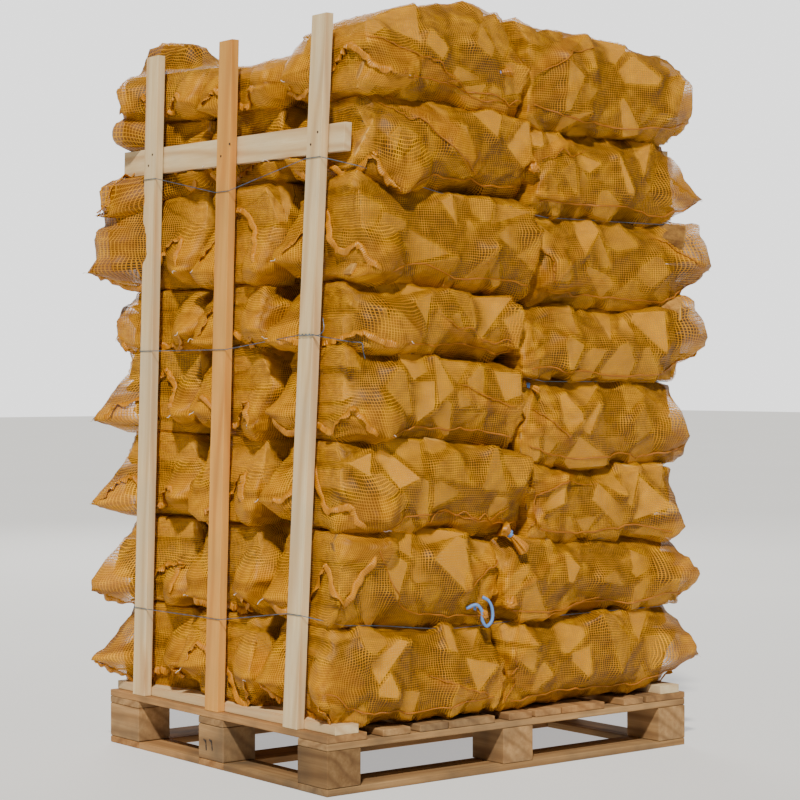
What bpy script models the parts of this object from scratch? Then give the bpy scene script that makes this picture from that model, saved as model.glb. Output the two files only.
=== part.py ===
# Pallet of sacks: a wooden block pallet that carries eight layers of net sacks filled with
# split firewood. A light timber panel stands at each end of the load, and three wires hold
# the two panels together. All lengths are in metres. +X runs along the long side of the
# pallet, +Y across it and +Z up, with the origin on the floor under the pallet's centre.

import bmesh
import bpy
from mathutils import Vector

OBJECT_NAME = "pallet_of_sacks"

# Pallet

PALLET_LENGTH = 1.2  # along X
PALLET_WIDTH = 1.0  # along Y
BOARD_THICK = 0.018
BLOCK_HIGH = 0.090
BLOCK_LONG = 0.100  # along X
BLOCK_ROW_EDGES = ((-0.500, -0.378), (-0.055, 0.060), (0.354, 0.500))  # along Y
DECK_BOARD_EDGES = (  # along X, from the pallet's end at -X
    (0.000, 0.119),
    (0.167, 0.253),
    (0.281, 0.371),
    (0.374, 0.523),
    (0.570, 0.648),
    (0.659, 0.748),
    (0.751, 0.902),
    (0.971, 1.042),
    (1.054, 1.200),
)
SEAT = 0.0003  # the gap between pieces that touch

BASE_TOP = BOARD_THICK
BLOCK_TOP = BASE_TOP + BLOCK_HIGH
STRINGER_TOP = BLOCK_TOP + BOARD_THICK
DECK_TOP = STRINGER_TOP + BOARD_THICK
HALF_LENGTH = PALLET_LENGTH / 2
HALF_WIDTH = PALLET_WIDTH / 2

# End panels

TIMBER_THICK = 0.022
UPRIGHT_WIDE = 0.060
UPRIGHT_YS = (-0.345, 0.001, 0.353)  # the middle of each upright's foot
UPRIGHT_LONG = (1.735, 1.714, 1.709)
STRIP_WIDE = 0.070
STRIP_STANDOFF = 0.0015  # from the feet of the uprights, which lean towards the strip
RAIL_HIGH = 0.070
RAIL_BOTTOM = 1.540
RAIL_EDGES = (-0.430, 0.514)  # along Y
# How far each upright's top stands from over its foot, along X and Y
LEFT_LEANS = ((0.090, 0.000), (0.0652, 0.028), (0.046, 0.000))
RIGHT_LEANS = ((0.030, 0.000), (0.030, 0.010), (0.030, 0.000))

# Wires

WIRE_RADIUS = 0.001
WIRE_CLEAR = 0.0005  # from the uprights, a little more than a seat because the wire bends there
WIRE_IN_GROOVE = 0.006  # from the line where two layers of sacks meet
# For each wire its height on the left panel's three uprights, and the groove between layers
# of sacks in which it crosses to the other panel
WIRES = (
    ("wire_low", (0.419, 0.379, 0.377), 1),
    ("wire_middle", (1.096, 1.064, 1.064), 4),
    ("wire_top", (1.528, 1.469, 1.524), 6),
)

# Sacks: each layer holds two along X and three along Y

LAYERS = 8
COLUMN_SPLIT = 0.0
ROW_SPLITS = (-0.167, 0.167)
GRID_XS = (-0.53, -0.43, -0.32, -0.21, -0.10, -0.04, 0.0, 0.04, 0.10, 0.21, 0.32, 0.43, 0.535)
GRID_YS = (
    -0.465,
    -0.400,
    -0.295,
    -0.235,
    -0.167,
    -0.105,
    -0.045,
    0.062,
    0.110,
    0.167,
    0.235,
    0.303,
    0.405,
    0.465,
)
BOTTOM_SHRINK = 0.86  # of the lowest face along X, so that it lies between the two strips
LOAD_LEAN = 0.030  # of the load's top towards +X
# The height of the faces where layers meet, over three places along X
HEIGHT_XS = (-0.50, -0.22, -0.10, 0.10)
MEETING_HEIGHTS = (
    (DECK_TOP, DECK_TOP, DECK_TOP, DECK_TOP),
    (0.400, 0.368, 0.370, 0.377),
    (0.625, 0.619, 0.600, 0.566),
    (0.845, 0.845, 0.820, 0.756),
    (1.080, 1.031, 1.015, 0.983),
    (1.235, 1.208, 1.195, 1.167),
    (1.500, 1.442, 1.430, 1.405),
    (1.680, 1.687, 1.670, 1.621),
    (1.850, 1.915, 1.915, 1.890),
)
# How far out each layer's middle comes at the load's four sides
LEFT_REACH = (0.575, 0.570, 0.565, 0.565, 0.560, 0.560, 0.540, 0.540)
RIGHT_REACH = (0.575, 0.565, 0.560, 0.600, 0.600, 0.615, 0.610, 0.595)
FRONT_REACH = (0.515, 0.512, 0.510, 0.510, 0.505, 0.505, 0.505, 0.495)
BACK_REACH = (0.512, 0.510, 0.508, 0.508, 0.505, 0.505, 0.500, 0.495)
LEFT_CORNER_REACH = 0.600
BULGE = {0.0: 0.0, 0.25: 0.76, 0.5: 1.0, 0.75: 0.80, 1.0: 0.0}
GAP_DEEP = 0.045  # the grooves between the sacks of a layer
EAR_OUT = (0.650, 0.664)  # the sacks' pointed corners at -X and at +X
EAR_LEVELS = (0.5,) + (0.25,) * 7  # the lowest layer's ears are above the strips
EAR_LINES = (0, 3, 5, 8, 10, 13)  # indices into GRID_YS
UPRIGHT_LINES = ((1, 2), (6, 7), (11, 12))  # those beside each upright
TOP_EDGE_DROP = 0.035
TOP_GAP_DEEP = 0.040
UPRIGHT_CLEAR = 0.012
RAIL_CLEAR_BAND = (1.47, 1.67)  # the heights over which the sacks stay behind the rails

# Colours

PALLET_COLOUR = (0.42, 0.29, 0.17, 1.0)
TIMBER_COLOUR = (0.70, 0.56, 0.36, 1.0)
NET_COLOUR = (0.80, 0.42, 0.06, 1.0)
WIRE_COLOUR = (0.35, 0.40, 0.45, 1.0)


def clear_scene():
    for item in list(bpy.data.objects):
        bpy.data.objects.remove(item, do_unlink=True)


def make_collection(name):
    made = bpy.data.collections.new(name)
    bpy.context.scene.collection.children.link(made)
    return made


def material(name, colour, roughness, metallic=0.0):
    made = bpy.data.materials.new(name)
    made.use_nodes = True
    shader = made.node_tree.nodes["Principled BSDF"]
    shader.inputs["Base Color"].default_value = colour
    shader.inputs["Roughness"].default_value = roughness
    shader.inputs["Metallic"].default_value = metallic
    made.diffuse_color = colour
    return made


def add_mesh(bm, name, parts, look):
    """Makes the finished mesh an object of its own, with its faces turned outwards."""
    bmesh.ops.recalc_face_normals(bm, faces=bm.faces)
    mesh = bpy.data.meshes.new(name)
    bm.to_mesh(mesh)
    bm.free()
    mesh.materials.append(look)
    made = bpy.data.objects.new(name, mesh)
    parts.objects.link(made)
    return made


def box(name, low, high, parts, look):
    """A plain sawn piece between two corners."""
    bm = bmesh.new()
    bmesh.ops.create_cube(bm, size=1.0)
    middle = (Vector(low) + Vector(high)) / 2
    size = Vector(high) - Vector(low)
    for vert in bm.verts:
        vert.co = Vector(a * b for a, b in zip(vert.co, size)) + middle
    return add_mesh(bm, name, parts, look)


# Pallet pieces


def block_columns():
    """The middle of each row of blocks along X."""
    end = HALF_LENGTH - BLOCK_LONG / 2
    return (-end, 0.0, end)


def build_base(parts, look):
    """Three long boards on the floor, and cross boards that close the two ends."""
    for number, (low, high) in enumerate(BLOCK_ROW_EDGES, 1):
        box(
            f"base_board_{number}",
            (-HALF_LENGTH, low, 0.0),
            (HALF_LENGTH, high, BASE_TOP),
            parts,
            look,
        )
    number = 0
    for middle in (block_columns()[0], block_columns()[2]):
        for near, far in zip(BLOCK_ROW_EDGES, BLOCK_ROW_EDGES[1:]):
            number += 1
            box(
                f"base_cross_{number}",
                (middle - BLOCK_LONG / 2, near[1] + SEAT, 0.0),
                (middle + BLOCK_LONG / 2, far[0] - SEAT, BASE_TOP),
                parts,
                look,
            )


def build_blocks(parts, look):
    """Nine blocks, with a stringer along each row of three."""
    for row, (low, high) in enumerate(BLOCK_ROW_EDGES, 1):
        for column, middle in enumerate(block_columns(), 1):
            box(
                f"block_{row}_{column}",
                (middle - BLOCK_LONG / 2, low, BASE_TOP + SEAT),
                (middle + BLOCK_LONG / 2, high, BLOCK_TOP),
                parts,
                look,
            )
        box(
            f"stringer_{row}",
            (-HALF_LENGTH, low, BLOCK_TOP + SEAT),
            (HALF_LENGTH, high, STRINGER_TOP),
            parts,
            look,
        )


def build_deck(parts, look):
    for number, (low, high) in enumerate(DECK_BOARD_EDGES, 1):
        box(
            f"deck_board_{number}",
            (low - HALF_LENGTH, -HALF_WIDTH, STRINGER_TOP + SEAT),
            (high - HALF_LENGTH, HALF_WIDTH, DECK_TOP),
            parts,
            look,
        )


# End panels


def lean_at(leans, y, z):
    """How far the panel's plane has moved along X at a height, between two uprights."""
    shares = [lean[0] / length for lean, length in zip(leans, UPRIGHT_LONG)]
    near, far = (0, 1) if y < UPRIGHT_YS[1] else (1, 2)
    along = (y - UPRIGHT_YS[near]) / (UPRIGHT_YS[far] - UPRIGHT_YS[near])
    share = shares[near] + (shares[far] - shares[near]) * along
    return share * (z - DECK_TOP)


def panel_plane(side, leans, y, z, inwards):
    """The panel's X at a place, counted inwards from the uprights' outer faces."""
    return side * (HALF_LENGTH - inwards) + lean_at(leans, y, z)


def build_upright(name, side, y, length, lean, parts, look):
    """A sawn upright whose foot stands flat on the deck while its top leans."""
    bm = bmesh.new()
    bmesh.ops.create_cube(bm, size=1.0)
    foot = Vector((side * (HALF_LENGTH - TIMBER_THICK / 2), y, DECK_TOP + SEAT))
    for vert in bm.verts:
        is_top = vert.co.z > 0
        vert.co = foot + Vector(
            (vert.co.x * TIMBER_THICK, vert.co.y * UPRIGHT_WIDE, length if is_top else 0.0)
        )
        if is_top:
            vert.co += Vector((lean[0], lean[1], 0.0))
    add_mesh(bm, name, parts, look)


def build_rail(name, side, leans, parts, look):
    """The rail across the inner faces of the three uprights, which follows their lean."""
    bm = bmesh.new()
    bmesh.ops.create_cube(bm, size=1.0)
    for vert in bm.verts:
        y = RAIL_EDGES[0] if vert.co.y < 0 else RAIL_EDGES[1]
        z = RAIL_BOTTOM + (RAIL_HIGH if vert.co.z > 0 else 0.0)
        is_outer = vert.co.x * side > 0
        inwards = TIMBER_THICK + 2 * SEAT + (0.0 if is_outer else TIMBER_THICK)
        vert.co = Vector((rail_plane(side, leans, y, z, inwards), y, z))
    add_mesh(bm, name, parts, look)


def rail_plane(side, leans, y, z, inwards):
    """One flat plane over the first and the last upright, for a straight rail.

    The uprights lean by different amounts, so the rail runs slightly askew and touches each
    upright along one edge.
    """
    first = lean_at(leans, UPRIGHT_YS[0], z)
    last = lean_at(leans, UPRIGHT_YS[2], z)
    skew = (last - first) / (UPRIGHT_YS[2] - UPRIGHT_YS[0])
    inwards += abs(skew) * UPRIGHT_WIDE / 2
    return side * (HALF_LENGTH - inwards) + first + skew * (y - UPRIGHT_YS[0])


def build_panel(prefix, side, leans, parts, look):
    """Three uprights, the strip that lies inside their feet, and the rail near their tops."""
    outer = HALF_LENGTH - TIMBER_THICK - STRIP_STANDOFF
    ends = sorted((side * outer, side * (outer - STRIP_WIDE)))
    box(
        f"{prefix}_strip",
        (ends[0], -HALF_WIDTH, DECK_TOP + SEAT),
        (ends[1], HALF_WIDTH, DECK_TOP + SEAT + TIMBER_THICK),
        parts,
        look,
    )
    for number, (y, length, lean) in enumerate(zip(UPRIGHT_YS, UPRIGHT_LONG, leans), 1):
        build_upright(f"{prefix}_upright_{number}", side, y, length, lean, parts, look)
    build_rail(f"{prefix}_rail", side, leans, parts, look)


# Sacks


def between(value, places, values):
    """Reads a value off straight lines through the given points."""
    if value <= places[0]:
        return values[0]
    for low, high, first, last in zip(places, places[1:], values, values[1:]):
        if value <= high:
            return first + (last - first) * (value - low) / (high - low)
    return values[-1]


def top_shape(i, j):
    """How far the load's top face falls below its highest level at a place."""
    drop = 0.0
    if i in (0, len(GRID_XS) - 1) or j in (0, len(GRID_YS) - 1):
        drop += TOP_EDGE_DROP
    if GRID_YS[j] in ROW_SPLITS or GRID_XS[i] == COLUMN_SPLIT:
        drop += TOP_GAP_DEEP
    return drop


def meeting_point(level, i, j):
    """A point of the face where the layer below a level meets the one above it."""
    x, y = GRID_XS[i], GRID_YS[j]
    z = between(x, HEIGHT_XS, MEETING_HEIGHTS[level])
    if level == 0:
        return Vector((x * BOTTOM_SHRINK, y, z))
    if level == LAYERS:
        z -= top_shape(i, j)
    rise = (z - DECK_TOP) / (MEETING_HEIGHTS[LAYERS][1] - DECK_TOP)
    return Vector((kept_clear(i, j, x + LOAD_LEAN * rise, z), y, z))


def side_limit(side, leans, j, z):
    """The X that the sacks keep within, where the panel's timber stands in their way."""
    limits = []
    y = GRID_YS[j]
    for lines in UPRIGHT_LINES:
        if j in lines:
            limits.append(panel_plane(side, leans, y, z, TIMBER_THICK + UPRIGHT_CLEAR))
    if RAIL_CLEAR_BAND[0] < z < RAIL_CLEAR_BAND[1]:
        limits.append(rail_plane(side, leans, y, z, 2 * TIMBER_THICK + UPRIGHT_CLEAR / 2))
    if not limits:
        return None
    return min(limits) if side > 0 else max(limits)


def kept_clear(i, j, x, z):
    """Moves a point of the load's two ends inwards, off the timber beside it."""
    if i not in (0, len(GRID_XS) - 1):
        return x
    side, leans = (-1, LEFT_LEANS) if i == 0 else (1, RIGHT_LEANS)
    limit = side_limit(side, leans, j, z)
    if limit is None:
        return x
    return max(x, limit) if side < 0 else min(x, limit)


def is_ear(layer, j, share):
    return share == EAR_LEVELS[layer] and j in EAR_LINES


def reach_along_x(layer, side, j, share):
    """The X of a layer's end face: full at a sack, less between sacks, more at an ear."""
    if is_ear(layer, j, share):
        return side * EAR_OUT[0 if side < 0 else 1]
    out = LEFT_REACH[layer] if side < 0 else RIGHT_REACH[layer]
    if side < 0 and j == 0:
        out = LEFT_CORNER_REACH
    if GRID_YS[j] in ROW_SPLITS:
        out -= GAP_DEEP
    return side * out


def reach_along_y(layer, side, i):
    """The Y of a layer's long face, less between two sacks."""
    out = FRONT_REACH[layer] if side < 0 else BACK_REACH[layer]
    if GRID_XS[i] == COLUMN_SPLIT:
        out -= GAP_DEEP
    return side * out


def sack_point(layer, i, j, share):
    """Where a grid point of a layer lies, share being 0 at its bottom and 1 at its top."""
    low, high = meeting_point(layer, i, j), meeting_point(layer + 1, i, j)
    low.z += SEAT if layer == 0 else SEAT / 2
    high.z -= 0.0 if layer == LAYERS - 1 else SEAT / 2
    point = low.lerp(high, share)
    if share in (0.0, 1.0):
        return point
    bulge = BULGE[share]
    last_i, last_j = len(GRID_XS) - 1, len(GRID_YS) - 1
    if j in (0, last_j):
        reach = reach_along_y(layer, -1 if j == 0 else 1, i)
        point.y += (reach - point.y) * bulge
    if i in (0, last_i):
        reach = reach_along_x(layer, -1 if i == 0 else 1, j, share)
        point.x += (reach - point.x) * (1.0 if is_ear(layer, j, share) else bulge)
        point.x = kept_clear(i, j, point.x, point.z)
    return point


def build_layer(layer, parts, look):
    """One layer of six sacks as a single cushion with the gaps between them cut in.

    A flat grid of triangles is extruded into a slab and its sides are subdivided. Each
    corner is then moved from its place in the grid to its place in the load. Two layers
    share the grid of the face where they meet, so their faces lie a seat's gap apart.
    """
    bm = bmesh.new()
    last_i, last_j = len(GRID_XS) - 1, len(GRID_YS) - 1
    bmesh.ops.create_grid(bm, x_segments=last_i, y_segments=last_j, size=0.5)
    for vert in bm.verts:
        vert.co = Vector(
            (round((vert.co.x + 0.5) * last_i), round((vert.co.y + 0.5) * last_j), 0.0)
        )
    bmesh.ops.triangulate(bm, faces=bm.faces)
    extruded = bmesh.ops.extrude_face_region(bm, geom=bm.faces[:])["geom"]
    for item in extruded:
        if isinstance(item, bmesh.types.BMVert):
            item.co.z = 1.0
    upright = [e for e in bm.edges if abs(e.verts[0].co.z - e.verts[1].co.z) > 0.5]
    bmesh.ops.subdivide_edges(bm, edges=upright, cuts=len(BULGE) - 2, use_grid_fill=True)
    for vert in bm.verts:
        share = round(vert.co.z * 4) / 4
        vert.co = sack_point(layer, round(vert.co.x), round(vert.co.y), share)
    bmesh.ops.triangulate(bm, faces=[f for f in bm.faces if len(f.verts) > 3])
    add_mesh(bm, f"sack_layer_{layer + 1}", parts, look)


# Wires


def panel_wire_points(side, leans, heights):
    """The wire's way over the outer faces of a panel's uprights, from the front to the back."""
    points = []
    out = -(WIRE_RADIUS + WIRE_CLEAR)
    for number, z in enumerate(heights):
        shift = leans[number][1] * (z - DECK_TOP) / UPRIGHT_LONG[number]
        lean = leans[number][0] * (z - DECK_TOP) / UPRIGHT_LONG[number]
        for edge in (-UPRIGHT_WIDE / 2, UPRIGHT_WIDE / 2):
            x = side * (HALF_LENGTH - out) + lean
            points.append(Vector((x, UPRIGHT_YS[number] + shift + edge, z)))
    return points


def groove_points(level, j, outwards):
    """The wire's way along the groove between two layers, from -X to +X."""
    points = [meeting_point(level, i, j) for i in range(len(GRID_XS))]
    for point in points:
        point.y += outwards
    points[0].x -= WIRE_IN_GROOVE
    points[-1].x += WIRE_IN_GROOVE
    return points


def build_wire(name, heights, level, parts, look):
    """A closed loop of wire over both panels and along the grooves between the sacks."""
    front = groove_points(level, 0, -WIRE_IN_GROOVE)
    back = groove_points(level, len(GRID_YS) - 1, WIRE_IN_GROOVE)
    right_heights = [front[-1].z, (front[-1].z + back[-1].z) / 2, back[-1].z]
    left = panel_wire_points(-1, LEFT_LEANS, heights)
    right = panel_wire_points(1, RIGHT_LEANS, right_heights)
    path = left + back + right[::-1] + front[::-1]
    curve = bpy.data.curves.new(name, "CURVE")
    curve.dimensions = "3D"
    curve.bevel_depth = WIRE_RADIUS
    curve.bevel_resolution = 2
    spline = curve.splines.new("POLY")
    spline.points.add(len(path) - 1)
    for point, place in zip(spline.points, path):
        point.co = (*place, 1.0)
    spline.use_cyclic_u = True
    curve.materials.append(look)
    parts.objects.link(bpy.data.objects.new(name, curve))


def build():
    clear_scene()
    parts = make_collection(OBJECT_NAME)
    pallet_wood = material("pallet_wood", PALLET_COLOUR, 0.85)
    fresh_timber = material("fresh_timber", TIMBER_COLOUR, 0.75)
    net_sack = material("net_sack", NET_COLOUR, 0.6)
    steel_wire = material("steel_wire", WIRE_COLOUR, 0.4, 1.0)
    build_base(parts, pallet_wood)
    build_blocks(parts, pallet_wood)
    build_deck(parts, pallet_wood)
    build_panel("left", -1, LEFT_LEANS, parts, fresh_timber)
    build_panel("right", 1, RIGHT_LEANS, parts, fresh_timber)
    for layer in range(LAYERS):
        build_layer(layer, parts, net_sack)
    for name, heights, level in WIRES:
        build_wire(name, heights, level, parts, steel_wire)


build()
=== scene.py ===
# %% [markdown]
# # A pallet of firewood sacks
# Eight layers of net sacks full of split firewood stand on a wooden block pallet. A panel of
# fresh timber stands at each end, and three wires hold the load between the panels. The sizes
# and places come from the construction model, which this script loads and dresses.

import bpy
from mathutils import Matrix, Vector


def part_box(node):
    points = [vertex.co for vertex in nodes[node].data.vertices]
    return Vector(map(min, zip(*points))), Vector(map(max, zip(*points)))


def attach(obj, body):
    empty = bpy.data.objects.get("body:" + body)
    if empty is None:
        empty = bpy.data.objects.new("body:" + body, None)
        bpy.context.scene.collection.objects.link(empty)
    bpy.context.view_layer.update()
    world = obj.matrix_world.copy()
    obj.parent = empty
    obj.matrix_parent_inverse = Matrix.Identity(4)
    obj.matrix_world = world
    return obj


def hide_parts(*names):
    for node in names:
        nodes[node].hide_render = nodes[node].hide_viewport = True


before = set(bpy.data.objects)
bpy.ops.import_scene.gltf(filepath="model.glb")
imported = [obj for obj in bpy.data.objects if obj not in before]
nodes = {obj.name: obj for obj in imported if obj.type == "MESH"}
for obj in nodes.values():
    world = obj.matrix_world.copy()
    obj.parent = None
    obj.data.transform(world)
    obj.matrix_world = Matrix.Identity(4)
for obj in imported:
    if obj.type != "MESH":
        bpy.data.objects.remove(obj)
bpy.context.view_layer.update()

import math
import random

import bmesh
import bpy
import numpy as np
from mathutils import Vector, noise
from mathutils.bvhtree import BVHTree

# %% [markdown]
# ## Camera
# The camera stands about five and a half metres from the pallet, a metre above the ground, and
# looks almost level at its corner. Its place and lens were fitted to the pallet's corners in
# the photograph, so that the pallet, which is 1.2 by 1.0 m, covers the same part of the frame.

# %% Camera
CAMERA_PLACE = (-3.6029, -4.5972, 0.9904)
CAMERA_TURN = (89.43, 0.0, -38.177)  # degrees
CAMERA_LENS = 96.88


def placed(name, data):
    """Puts a lamp, a camera or a mesh into the scene as an object."""
    made = bpy.data.objects.new(name, data)
    bpy.context.scene.collection.objects.link(made)
    return made


camera_data = bpy.data.cameras.new("camera")
camera_data.lens = CAMERA_LENS
camera_data.sensor_width = 36.0
camera = placed("camera", camera_data)
camera.location = CAMERA_PLACE
camera.rotation_euler = [math.radians(turn) for turn in CAMERA_TURN]
bpy.context.scene.camera = camera

# %% [markdown]
# ## Light and floor
# Nets look flat in even light, because what shows a net is the small shadow each thread throws
# on what lies behind it. So a key light with nearly parallel rays stands high behind the
# camera, wide enough for its shadows to have soft edges. A large soft lamp lights the far side,
# and a pale sky lights the rest. The floor glows a little, so that it stays pale to its horizon.

# %% Light and floor
LOAD_MIDDLE = Vector((0.0, 0.0, 1.0))
KEY_PLACE = (-4.7, -5.0, 8.4)
BACK_PLACE = (3.5, 6.5, 4.5)
KEY_SUN = 4.4
KEY_SOFTNESS = 3.5  # degrees that the sun's disc covers
BACK_WATTS = 260.0
SKY_LIGHT = 0.20  # what the sky gives to the load
SKY_SEEN = 2.4  # what the camera sees of it, which is paler than the light it gives


def aimed(name, data, place):
    """Hangs a lamp at a place and points it at the middle of the load."""
    lamp = placed(name, data)
    lamp.location = place
    towards = LOAD_MIDDLE - Vector(place)
    lamp.rotation_euler = towards.to_track_quat("-Z", "Y").to_euler()


key = bpy.data.lights.new("key_light", "SUN")
key.energy = KEY_SUN
key.angle = math.radians(KEY_SOFTNESS)
key.color = (1.0, 0.94, 0.82)
aimed("key_light", key, KEY_PLACE)

back = bpy.data.lights.new("back_light", "AREA")
back.shape = "DISK"
back.size = 4.0
back.energy = BACK_WATTS
aimed("back_light", back, BACK_PLACE)

sky = bpy.data.worlds.new("sky")
sky.use_nodes = True
sky_tree = sky.node_tree
sky_light = sky_tree.nodes["Background"]
sky_light.inputs["Color"].default_value = (0.93, 0.95, 1.0, 1.0)
sky_light.inputs["Strength"].default_value = SKY_LIGHT
sky_seen = sky_tree.nodes.new("ShaderNodeBackground")
sky_seen.inputs["Strength"].default_value = SKY_SEEN
sky_mix = sky_tree.nodes.new("ShaderNodeMixShader")
sky_path = sky_tree.nodes.new("ShaderNodeLightPath")
sky_tree.links.new(sky_path.outputs["Is Camera Ray"], sky_mix.inputs[0])
sky_tree.links.new(sky_light.outputs[0], sky_mix.inputs[1])
sky_tree.links.new(sky_seen.outputs[0], sky_mix.inputs[2])
sky_tree.links.new(sky_mix.outputs[0], sky_tree.nodes["World Output"].inputs["Surface"])
bpy.context.scene.world = sky


def link_mesh(name, bm, *looks):
    """Makes the finished bmesh an object of its own, at the origin."""
    mesh = bpy.data.meshes.new(name)
    bm.to_mesh(mesh)
    bm.free()
    for look in looks:
        mesh.materials.append(look)
    return placed(name, mesh)


# %% [markdown]
# ## Shader sums
# A material's pattern is arithmetic on sockets. The small class below wraps an output socket so
# that Python's own operators add the Math nodes, and `1 - mask` reads as it does on paper.
# Every other node comes from one method, which sets the node's own settings first.

# %% Shader sums


class Amount:
    """An output socket that takes part in sums."""

    def __init__(self, finish, socket):
        self.finish, self.socket = finish, socket

    def sum(self, operation, *terms):
        values = {number: term for number, term in enumerate(terms)}
        return self.finish.node("ShaderNodeMath", {"operation": operation}, values)[0]

    def __add__(self, other):
        return self.sum("ADD", self, other)

    __radd__ = __add__

    def __sub__(self, other):
        return self.sum("SUBTRACT", self, other)

    def __rsub__(self, other):
        return self.sum("SUBTRACT", other, self)

    def __mul__(self, other):
        return self.sum("MULTIPLY", self, other)

    __rmul__ = __mul__

    def __truediv__(self, other):
        return self.sum("DIVIDE", self, other)

    def __pow__(self, other):
        return self.sum("POWER", self, other)

    def __abs__(self):
        return self.sum("ABSOLUTE", self)

    def fraction(self):
        return self.sum("FRACT", self)

    def sine(self):
        return self.sum("SINE", self)

    def at_least(self, other):
        return self.sum("MAXIMUM", self, other)

    def at_most(self, other):
        return self.sum("MINIMUM", self, other)

    def above(self, edge, softness):
        """0 below an edge and 1 above it, with a soft step of the given width."""
        return ((self - edge) / softness + 0.5).at_least(0.0).at_most(1.0)


class Outputs:
    def __init__(self, finish, node):
        self.finish, self.node = finish, node

    def __getitem__(self, key):
        return Amount(self.finish, self.node.outputs[key])


class Finish:
    """A material under construction, around its Principled shader."""

    def __init__(self, name):
        self.material = bpy.data.materials.new(name)
        self.material.use_nodes = True
        self.tree = self.material.node_tree
        self.shader = self.tree.nodes["Principled BSDF"]

    def feed(self, sockets, key, value):
        if isinstance(value, Amount):
            self.tree.links.new(value.socket, sockets[key])
        else:
            sockets[key].default_value = value

    def node(self, kind, settings, values):
        made = self.tree.nodes.new(kind)
        for key, value in settings.items():
            if key == "stops":
                ramp = made.color_ramp
                for stop, (place, colour) in enumerate(value):
                    element = ramp.elements[stop] if stop < 2 else ramp.elements.new(place)
                    element.position, element.color = place, (*colour, 1.0)
            else:
                setattr(made, key, value)
        for key, value in values.items():
            self.feed(made.inputs, key, value)
        return Outputs(self, made)

    def surface(self, **values):
        """Feeds the Principled shader's sockets, named with _ for a space."""
        for key, value in values.items():
            self.feed(self.shader.inputs, key.replace("_", " ").title(), value)

    def attribute(self, name, kind="Fac"):
        return self.node("ShaderNodeAttribute", {"attribute_name": name}, {})[kind]

    def object_place(self):
        return self.node("ShaderNodeTexCoord", {}, {})["Object"]

    def weave_place(self):
        return self.node("ShaderNodeUVMap", {"uv_map": "weave"}, {})["UV"]

    def xyz(self, vector):
        return self.node("ShaderNodeSeparateXYZ", {}, {"Vector": vector})

    def stretched(self, vector, scale):
        values = {"Vector": vector, "Scale": scale}
        return self.node("ShaderNodeMapping", {}, values)["Vector"]

    def noise(self, vector, scale, detail=3.0, roughness=0.55):
        values = {"Vector": vector, "Scale": scale, "Detail": detail, "Roughness": roughness}
        return self.node("ShaderNodeTexNoise", {}, values)["Fac"]

    def ramp(self, factor, *stops):
        return self.node("ShaderNodeValToRGB", {"stops": stops}, {"Fac": factor})["Color"]

    def mix(self, factor, first, second, blend="MIX"):
        settings = {"data_type": "RGBA", "blend_type": blend}
        return self.node("ShaderNodeMix", settings, {0: factor, 6: first, 7: second})[2]

    def bump(self, height, distance, strength=1.0):
        values = {"Height": height, "Distance": distance, "Strength": strength}
        return self.node("ShaderNodeBump", {}, values)["Normal"]


def paint(red, green, blue):
    """A screen colour, 0 to 255, as the linear, opaque colour that the shader wants."""
    linear = (
        (c / 255 / 12.92) if c <= 10 else ((c / 255 + 0.055) / 1.055) ** 2.4
        for c in (red, green, blue)
    )
    return (*linear, 1.0)


# %% Floor
def pale_floor_finish():
    finish = Finish("pale_floor")
    where = finish.object_place()
    cloud = finish.noise(where, 0.6)
    finish.surface(base_color=finish.mix(cloud, (0.46, 0.46, 0.45, 1), (0.52, 0.52, 0.51, 1)))
    finish.surface(roughness=0.9)
    finish.shader.inputs["Emission Color"].default_value = (1.0, 1.0, 1.0, 1.0)
    finish.shader.inputs["Emission Strength"].default_value = 0.5
    return finish.material


FLOOR_WIDTH = 90.0  # metres, so that it reaches the horizon
floor_mesh = bmesh.new()
bmesh.ops.create_grid(floor_mesh, x_segments=2, y_segments=2, size=FLOOR_WIDTH / 2)
floor = link_mesh("floor", floor_mesh, pale_floor_finish())

# %% [markdown]
# ## Wood finishes
# All the wood here is softwood in three states: the pallet's boards have been outdoors for
# years, the panels were sawn last week, and the firewood is split, so torn fibres show on its
# sides. Grain runs along a board, so each sawn piece carries an attribute named grain that
# holds its own coordinates: x along the piece, y and z across it, with a shift of its own so
# that no two boards repeat each other. One finish then serves every board in every direction.

# %% Wood finishes
KNOT_CELLS = (2.6, 13.0, 13.0)  # for each metre along and across
RINGS_FLAT, RINGS_DEEP = 95.0, 140.0  # turns of the growth rings' wave, in radians a metre
WOOD_SHINE = 0.3
SAWN_RELIEF, SPLIT_RELIEF, BARK_RELIEF = 0.0012, 0.005, 0.006  # metres
# What a piece's own tone, from 0 to 1, multiplies its colour by
SAWN_TONES = ((0.0, (0.46, 0.44, 0.42)), (0.5, (1, 1, 1)), (1.0, (0.98, 0.62, 0.24)))
SPLIT_TONES = ((0.0, (0.34, 0.30, 0.20)), (0.5, (0.82, 0.79, 0.70)), (1.0, (1, 1, 0.96)))
SPLIT_RINGS = 1500.0  # radians a metre from the pith


def knots(finish, grain, share):
    """Dark round knots, few and far between: 1 in a knot's middle, and the ring round it."""
    cells = finish.stretched(grain, KNOT_CELLS)
    settings = {"feature": "F1"}
    voronoi = finish.node("ShaderNodeTexVoronoi", settings, {"Vector": cells, "Scale": 1.0})
    chosen = voronoi["Color"]
    parts = finish.node("ShaderNodeSeparateColor", {}, {"Color": chosen})
    wanted = parts["Red"].above(1.0 - share, 0.01)
    near = voronoi["Distance"]
    return (1.0 - near.above(0.12, 0.05)) * wanted, (1.0 - near.above(0.22, 0.16)) * wanted


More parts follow.
